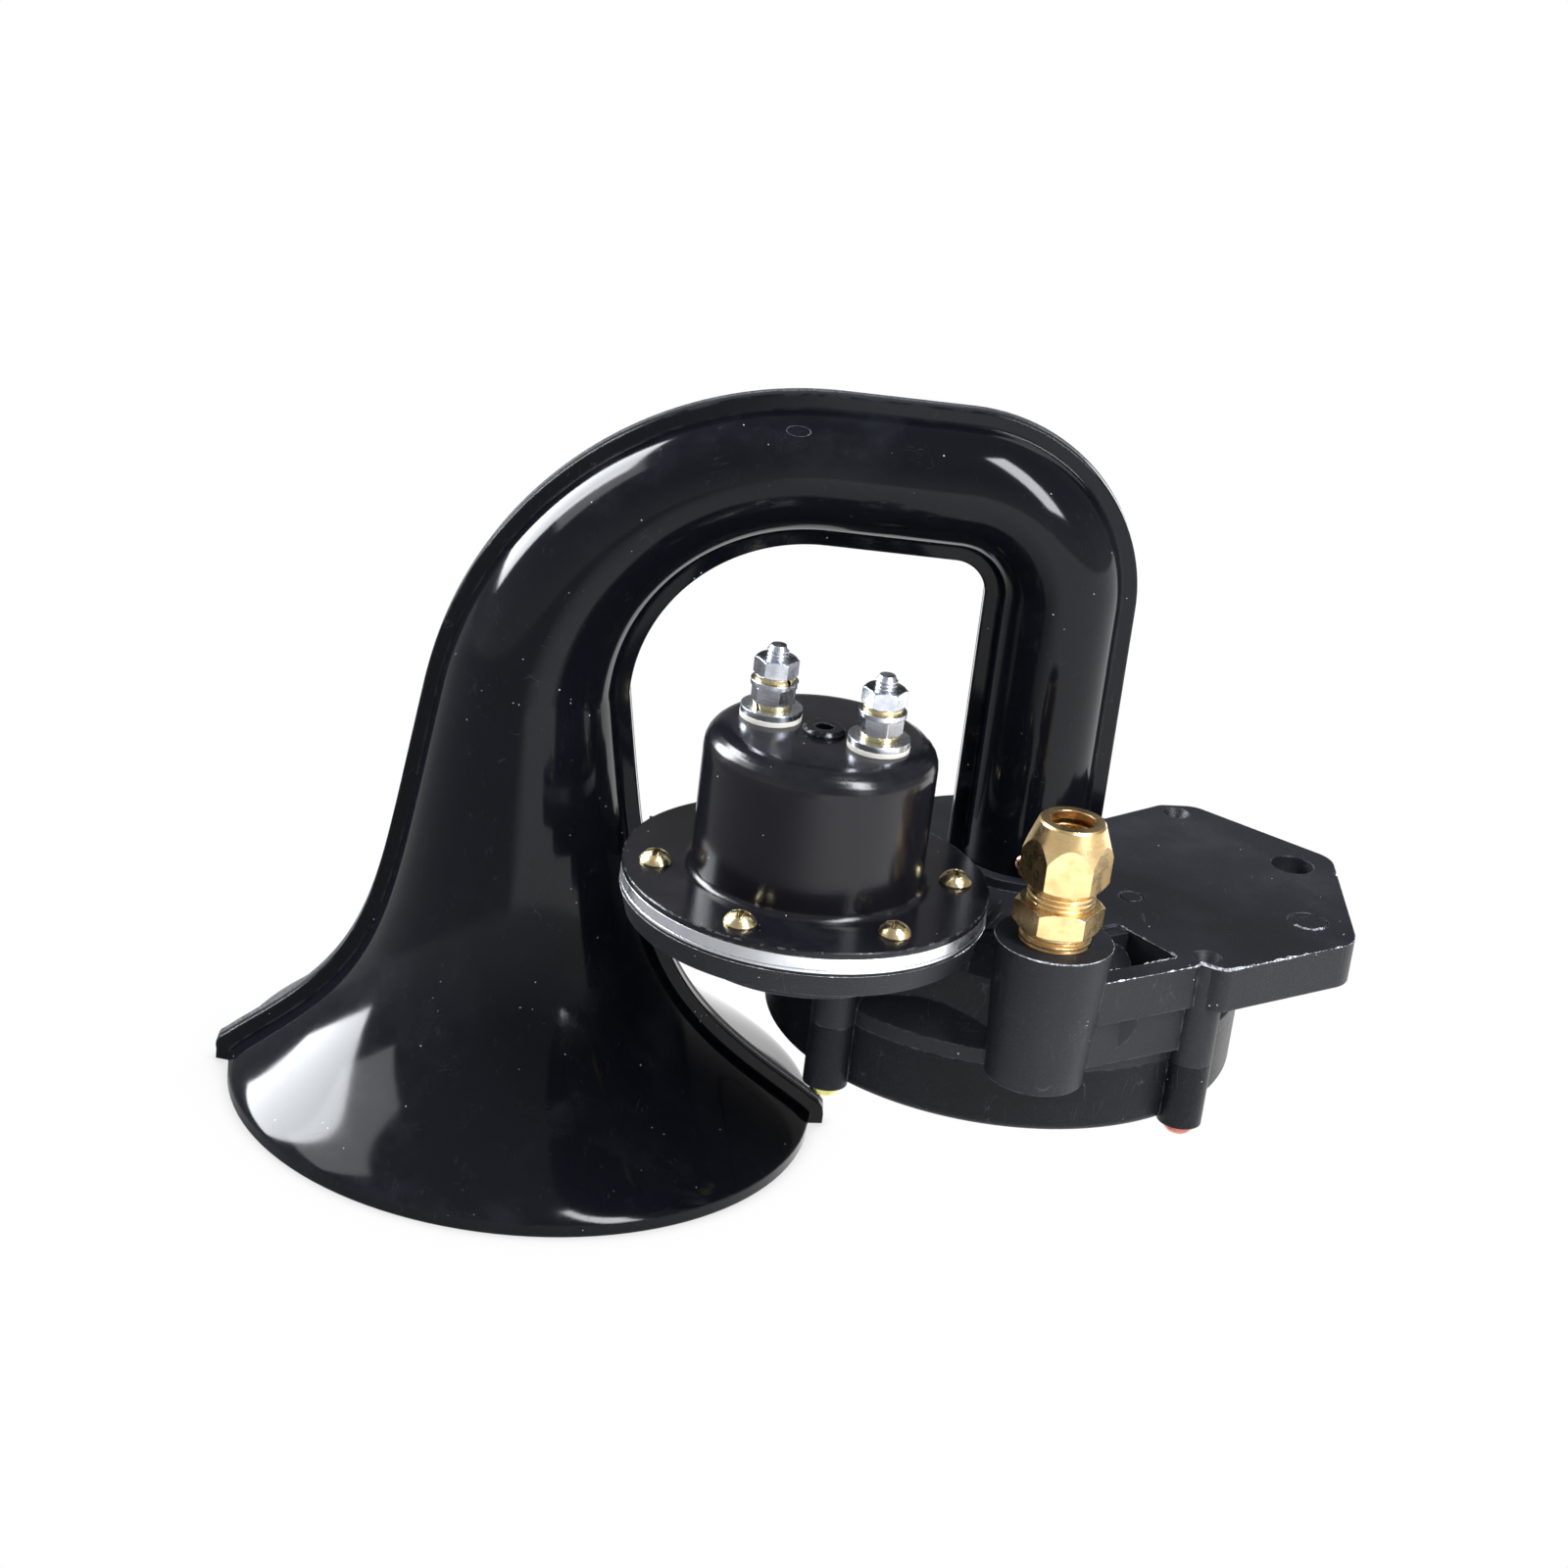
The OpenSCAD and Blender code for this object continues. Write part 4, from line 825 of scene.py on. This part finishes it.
def skin_ring(name, carrier, middle_point, look, width, height, lift, material):
    """A thin raised oval line that follows a surface, cast along look onto its carrier."""
    around, run_up = 48, 0.12
    profile = ((0.9, -0.3), (0.95, 1.0), (1.0, -0.3))
    tree = BVHTree.FromObject(carrier, bpy.context.evaluated_depsgraph_get())
    side = look.cross(Vector((0, 0, 1))).normalized()
    up = side.cross(look).normalized()
    verts, faces = [], []
    for i in range(around):
        a = 2 * math.pi * i / around
        for reach, rise in profile:
            aside = side * (math.cos(a) * reach * width / 2) + up * (math.sin(a) * reach * height / 2)
            hit, normal, _, _ = tree.ray_cast(middle_point - look * run_up + aside, look)
            verts.append(hit + normal * (lift * rise))
    for i in range(around):
        for k in range(len(profile) - 1):
            a, b = i * len(profile) + k, (i + 1) % around * len(profile) + k
            faces.append((a, a + 1, b + 1, b))
    return mesh_piece(name, verts, faces, material)


arch_mark_px, arch_mark_py, arch_mark_distance = 815, 440, 0.70
arch_mark_look = seen_at(arch_mark_px, arch_mark_py)
skin_ring("arch_mould_mark", front_half, eye + arch_mark_look * arch_mark_distance, arch_mark_look,
          4.6 * MM, 2.0 * MM, 0.03 * MM, dull_line_finish)


# Lamps, placed where the photograph's reflections ask for them

LAMP_TINT = (0.93, 0.96, 1.0)


def softbox(name, azimuth, elevation, distance, width, height, power, aim, glossy=True):
    """A rectangular lamp in the given direction from the aim point, facing it."""
    lamp_data = bpy.data.lights.new(name, "AREA")
    lamp_data.shape = "RECTANGLE"
    lamp_data.size, lamp_data.size_y, lamp_data.energy = width, height, power
    lamp_data.color = LAMP_TINT
    lamp = bpy.data.objects.new(name, lamp_data)
    a, e = math.radians(azimuth), math.radians(elevation)
    out = Vector((math.cos(a) * math.cos(e), math.sin(a) * math.cos(e), math.sin(e)))
    lamp.location = aim + out * distance
    lamp.rotation_mode = "QUATERNION"
    lamp.rotation_quaternion = (-out).to_track_quat("-Z", "Y")
    lamp.visible_glossy = glossy
    lamp.visible_camera = False
    bpy.context.scene.collection.objects.link(lamp)


bell_middle = Vector((-0.150, -0.0135, 0.0))
arch_middle = Vector((-0.100, -0.0135, 0.06))
arch_left = Vector((-0.133, -0.027, 0.064))
softbox("left key softbox", azimuth=155, elevation=27, distance=0.75,
        width=0.37, height=0.54, power=20, aim=arch_left)
softbox("left soft fill", azimuth=180, elevation=42, distance=0.75,
        width=0.30, height=0.30, power=1.6, aim=bell_middle)
softbox("right softbox", azimuth=-44, elevation=43, distance=0.75,
        width=0.17, height=0.64, power=13, aim=arch_middle)
softbox("overhead fill", azimuth=-60, elevation=75, distance=1.0,
        width=0.9, height=0.9, power=3, aim=arch_middle, glossy=False)
softbox("front fill", azimuth=-100, elevation=20, distance=1.3,
        width=1.2, height=0.8, power=7, aim=arch_middle, glossy=False)


# Studio around the object: white to the camera, and a dome that is darker above and behind

WHITE = (1, 1, 1, 1)
dome_low, dome_high, dome_behind, plain_light = 0.9, 0.35, 0.14, 0.25
world = bpy.data.worlds.new("studio")
bpy.context.scene.world = world
world.use_nodes = True
sky = world.node_tree
sky.nodes.clear()
look_to = apart(sky, put(sky, "TexCoord").outputs["Generated"])
seen = put(sky, "LightPath")
direct = sums(sky, "MAXIMUM", seen.outputs["Is Camera Ray"], seen.outputs["Is Transmission Ray"])
dome = span(sky, look_to[2], 0.02, 0.5, dome_low, dome_high, smooth=False)
dome = times(sky, dome, span(sky, look_to[1], -0.2, 0.7, 1.0, dome_behind))
shine = times(sky, seen.outputs["Is Glossy Ray"], dome)
strength = sums(sky, "MAXIMUM", direct, sums(sky, "MAXIMUM", shine, plain_light))
background = put(sky, "Background", Color=WHITE, Strength=strength)
sky.links.new(background.outputs[0], put(sky, "OutputWorld").inputs["Surface"])


def paper_floor():
    """White paper that stays white to the camera but keeps a faint contact shade."""
    shade_reach, darkest, glow_left, glow_right = 22 * MM, 0.76, 0.45, 2.0
    material = bpy.data.materials.new("white paper")
    material.use_nodes = True
    tree = material.node_tree
    tree.nodes.clear()
    ray = put(tree, "LightPath")
    glossy = ray.outputs["Is Glossy Ray"]
    seen_by = sums(tree, "MAXIMUM", ray.outputs["Is Camera Ray"],
                   sums(tree, "MAXIMUM", glossy, ray.outputs["Is Transmission Ray"]))
    near = put(tree, "AmbientOcclusion", {"samples": 8}, Distance=shade_reach).outputs["AO"]
    shade = span(tree, near, 0.3, 0.95, darkest, 1.0)
    glow = span(tree, apart(tree, object_place(tree))[0], -0.22, 0.0, glow_left, glow_right)
    lit = times(tree, shade, span(tree, glossy, 0.0, 1.0, 1.0, glow, smooth=False))
    white = put(tree, "Emission", Color=WHITE, Strength=lit)
    matt = put(tree, "BsdfDiffuse", Color=(0.8, 0.8, 0.8, 1))
    both = put(tree, "MixShader", in0=seen_by, in1=matt.outputs[0], in2=white.outputs[0])
    tree.links.new(both.outputs[0], put(tree, "OutputMaterial").inputs["Surface"])
    return material


half_floor = 4.0
corners = [(x * half_floor, y * half_floor, floor_z) for x, y in ((-1, -1), (1, -1), (1, 1), (-1, 1))]
floor_mesh = bpy.data.meshes.new("paper floor")
floor_mesh.from_pydata(corners, [], [(0, 1, 2, 3)])
floor_mesh.materials.append(paper_floor())
floor = bpy.data.objects.new("paper floor", floor_mesh)
bpy.context.scene.collection.objects.link(floor)

scene = bpy.context.scene
scene.view_settings.view_transform = "Standard"
